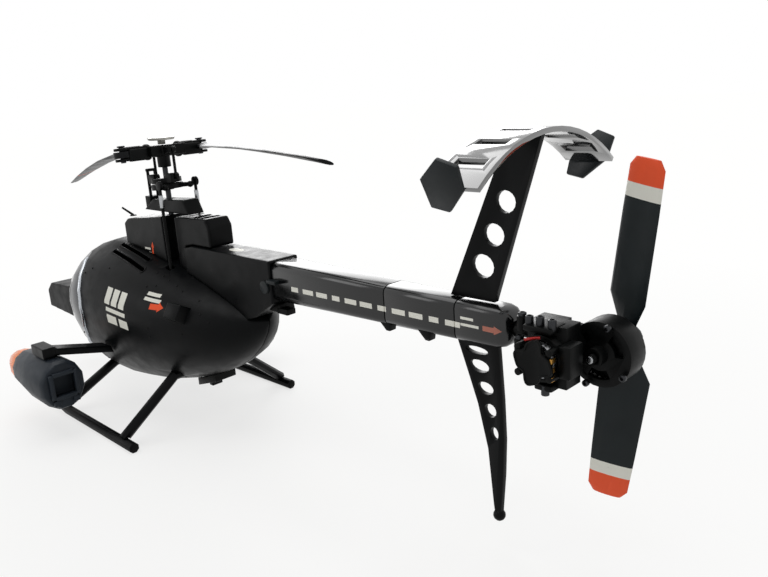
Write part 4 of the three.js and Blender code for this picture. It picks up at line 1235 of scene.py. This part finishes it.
class HELICOPTER_OT_stage(HelicopterOperator, bpy.types.Operator):
    """Pale floor, soft lamps and the camera"""

    bl_idname = "helicopter.stage"
    bl_label = "Stage"

    def build(self, sizes):
        self.floor()
        self.lamps()
        self.world()
        self.camera()
        bpy.context.scene.view_settings.view_transform = "Standard"

    def white_share(self, tree):
        rays = add_node(tree, "LightPath").outputs
        return any_of(
            tree, [rays["Is Camera Ray"], rays["Is Glossy Ray"], rays["Is Transmission Ray"]]
        )

    def floor(self):
        piece = primitive("plane", size=6, location=(0, 0, -0.02 * MM))
        piece.name = "floor"
        made, tree, shader = new_material("Matt white floor paint")
        shader.inputs["Base Color"].default_value = (0.9, 0.9, 0.89, 1)
        shader.inputs["Roughness"].default_value = 0.9
        shader.inputs["Specular IOR Level"].default_value = 0.1
        glow = add_node(tree, "Emission", {"Color": (1, 1, 0.995, 1), "Strength": 1.0})
        place = add_node(tree, "VectorMath", {0: object_place(tree)}, operation="LENGTH")
        whiter = ranged(tree, place.outputs["Value"], 0.1, 0.34, 0.72, 1.0)
        share = times(tree, self.white_share(tree), whiter)
        both = add_node(
            tree, "MixShader", {0: share, 1: shader.outputs[0], 2: glow.outputs[0]}
        )
        tree.links.new(both.outputs[0], tree.nodes["Material Output"].inputs["Surface"])
        piece.data.materials.append(made)

    def lamps(self):
        centre = Vector((0, 0, 0.05))
        for name, place, size, power in (
            ("overhead_panel", (0.0, -0.1, 0.95), 0.9, 5.0),
            ("far_panel", (-0.75, -0.8, 0.42), 0.8, 7.0),
            ("front_panel", (0.8, -0.6, 0.5), 0.4, 1.2),
        ):
            lamp = bpy.data.lights.new(name, "AREA")
            lamp.size = size
            lamp.energy = power
            holder = bpy.data.objects.new(name, lamp)
            bpy.context.scene.collection.objects.link(holder)
            holder.location = place
            holder.rotation_mode = "QUATERNION"
            holder.rotation_quaternion = (centre - holder.location).to_track_quat("-Z", "Y")

    def world(self):
        world = bpy.data.worlds.new("pale_room")
        bpy.context.scene.world = world
        world.use_nodes = True
        tree = world.node_tree
        background = tree.nodes["Background"]
        background.inputs["Color"].default_value = (1, 1, 1, 1)
        level = ranged(tree, self.white_share(tree), 0, 1, 0.35, 1.0)
        tree.links.new(level, background.inputs["Strength"])

    def camera(self):
        """A short lens above and behind the port quarter, as the object is seen in a hand."""
        yaw, pitch, roll = (math.radians(angle) for angle in CAMERA_TURN)
        ahead = Vector((
            -math.sin(yaw) * math.cos(pitch), -math.cos(yaw) * math.cos(pitch), math.sin(pitch)
        ))
        right = ahead.cross(Vector((0, 0, 1))).normalized()
        up = right.cross(ahead)
        across = right * math.cos(roll) + up * math.sin(roll)
        over = -right * math.sin(roll) + up * math.cos(roll)
        data = bpy.data.cameras.new("quarter_view")
        data.sensor_width = SENSOR
        data.lens = LENS
        holder = bpy.data.objects.new("quarter_view", data)
        bpy.context.scene.collection.objects.link(holder)
        turn = Matrix((across, over, -ahead)).transposed().to_4x4()
        holder.matrix_world = Matrix.Translation(at(*CAMERA_PLACE)) @ turn
        bpy.context.scene.camera = holder


class HELICOPTER_PT_panel(bpy.types.Panel):
    """Lists the pieces that can be built"""

    bl_idname = "HELICOPTER_PT_panel"
    bl_label = "Helicopter"
    bl_space_type = "VIEW_3D"
    bl_region_type = "UI"
    bl_category = "Helicopter"

    def draw(self, context):
        for group in (context.scene.helicopter_colours, context.scene.helicopter_sizes):
            box = self.layout.box()
            for name in group.bl_rna.properties.keys():
                if name not in {"rna_type", "name"}:
                    box.prop(group, name)
        for operator in OPERATORS:
            self.layout.operator(operator.bl_idname)


OPERATORS = (
    HELICOPTER_OT_fuselage,
    HELICOPTER_OT_cowling,
    HELICOPTER_OT_boom,
    HELICOPTER_OT_tail,
    HELICOPTER_OT_head,
    HELICOPTER_OT_gear,
    HELICOPTER_OT_pods,
    HELICOPTER_OT_insides,
    HELICOPTER_OT_stage,
)
CLASSES = (HelicopterColours, HelicopterSizes, *OPERATORS, HELICOPTER_PT_panel)


def register():
    for made in CLASSES:
        bpy.utils.register_class(made)
    bpy.types.Scene.helicopter_colours = PointerProperty(type=HelicopterColours)
    bpy.types.Scene.helicopter_sizes = PointerProperty(type=HelicopterSizes)


def unregister():
    del bpy.types.Scene.helicopter_colours
    del bpy.types.Scene.helicopter_sizes
    for made in reversed(CLASSES):
        bpy.utils.unregister_class(made)


def main():
    register()
    bpy.ops.helicopter.fuselage()
    bpy.ops.helicopter.cowling()
    bpy.ops.helicopter.boom()
    bpy.ops.helicopter.tail()
    bpy.ops.helicopter.head()
    bpy.ops.helicopter.gear()
    bpy.ops.helicopter.pods()
    bpy.ops.helicopter.insides()
    bpy.ops.helicopter.stage()
    bpy.context.view_layer.update()


if __name__ == "__main__":
    main()
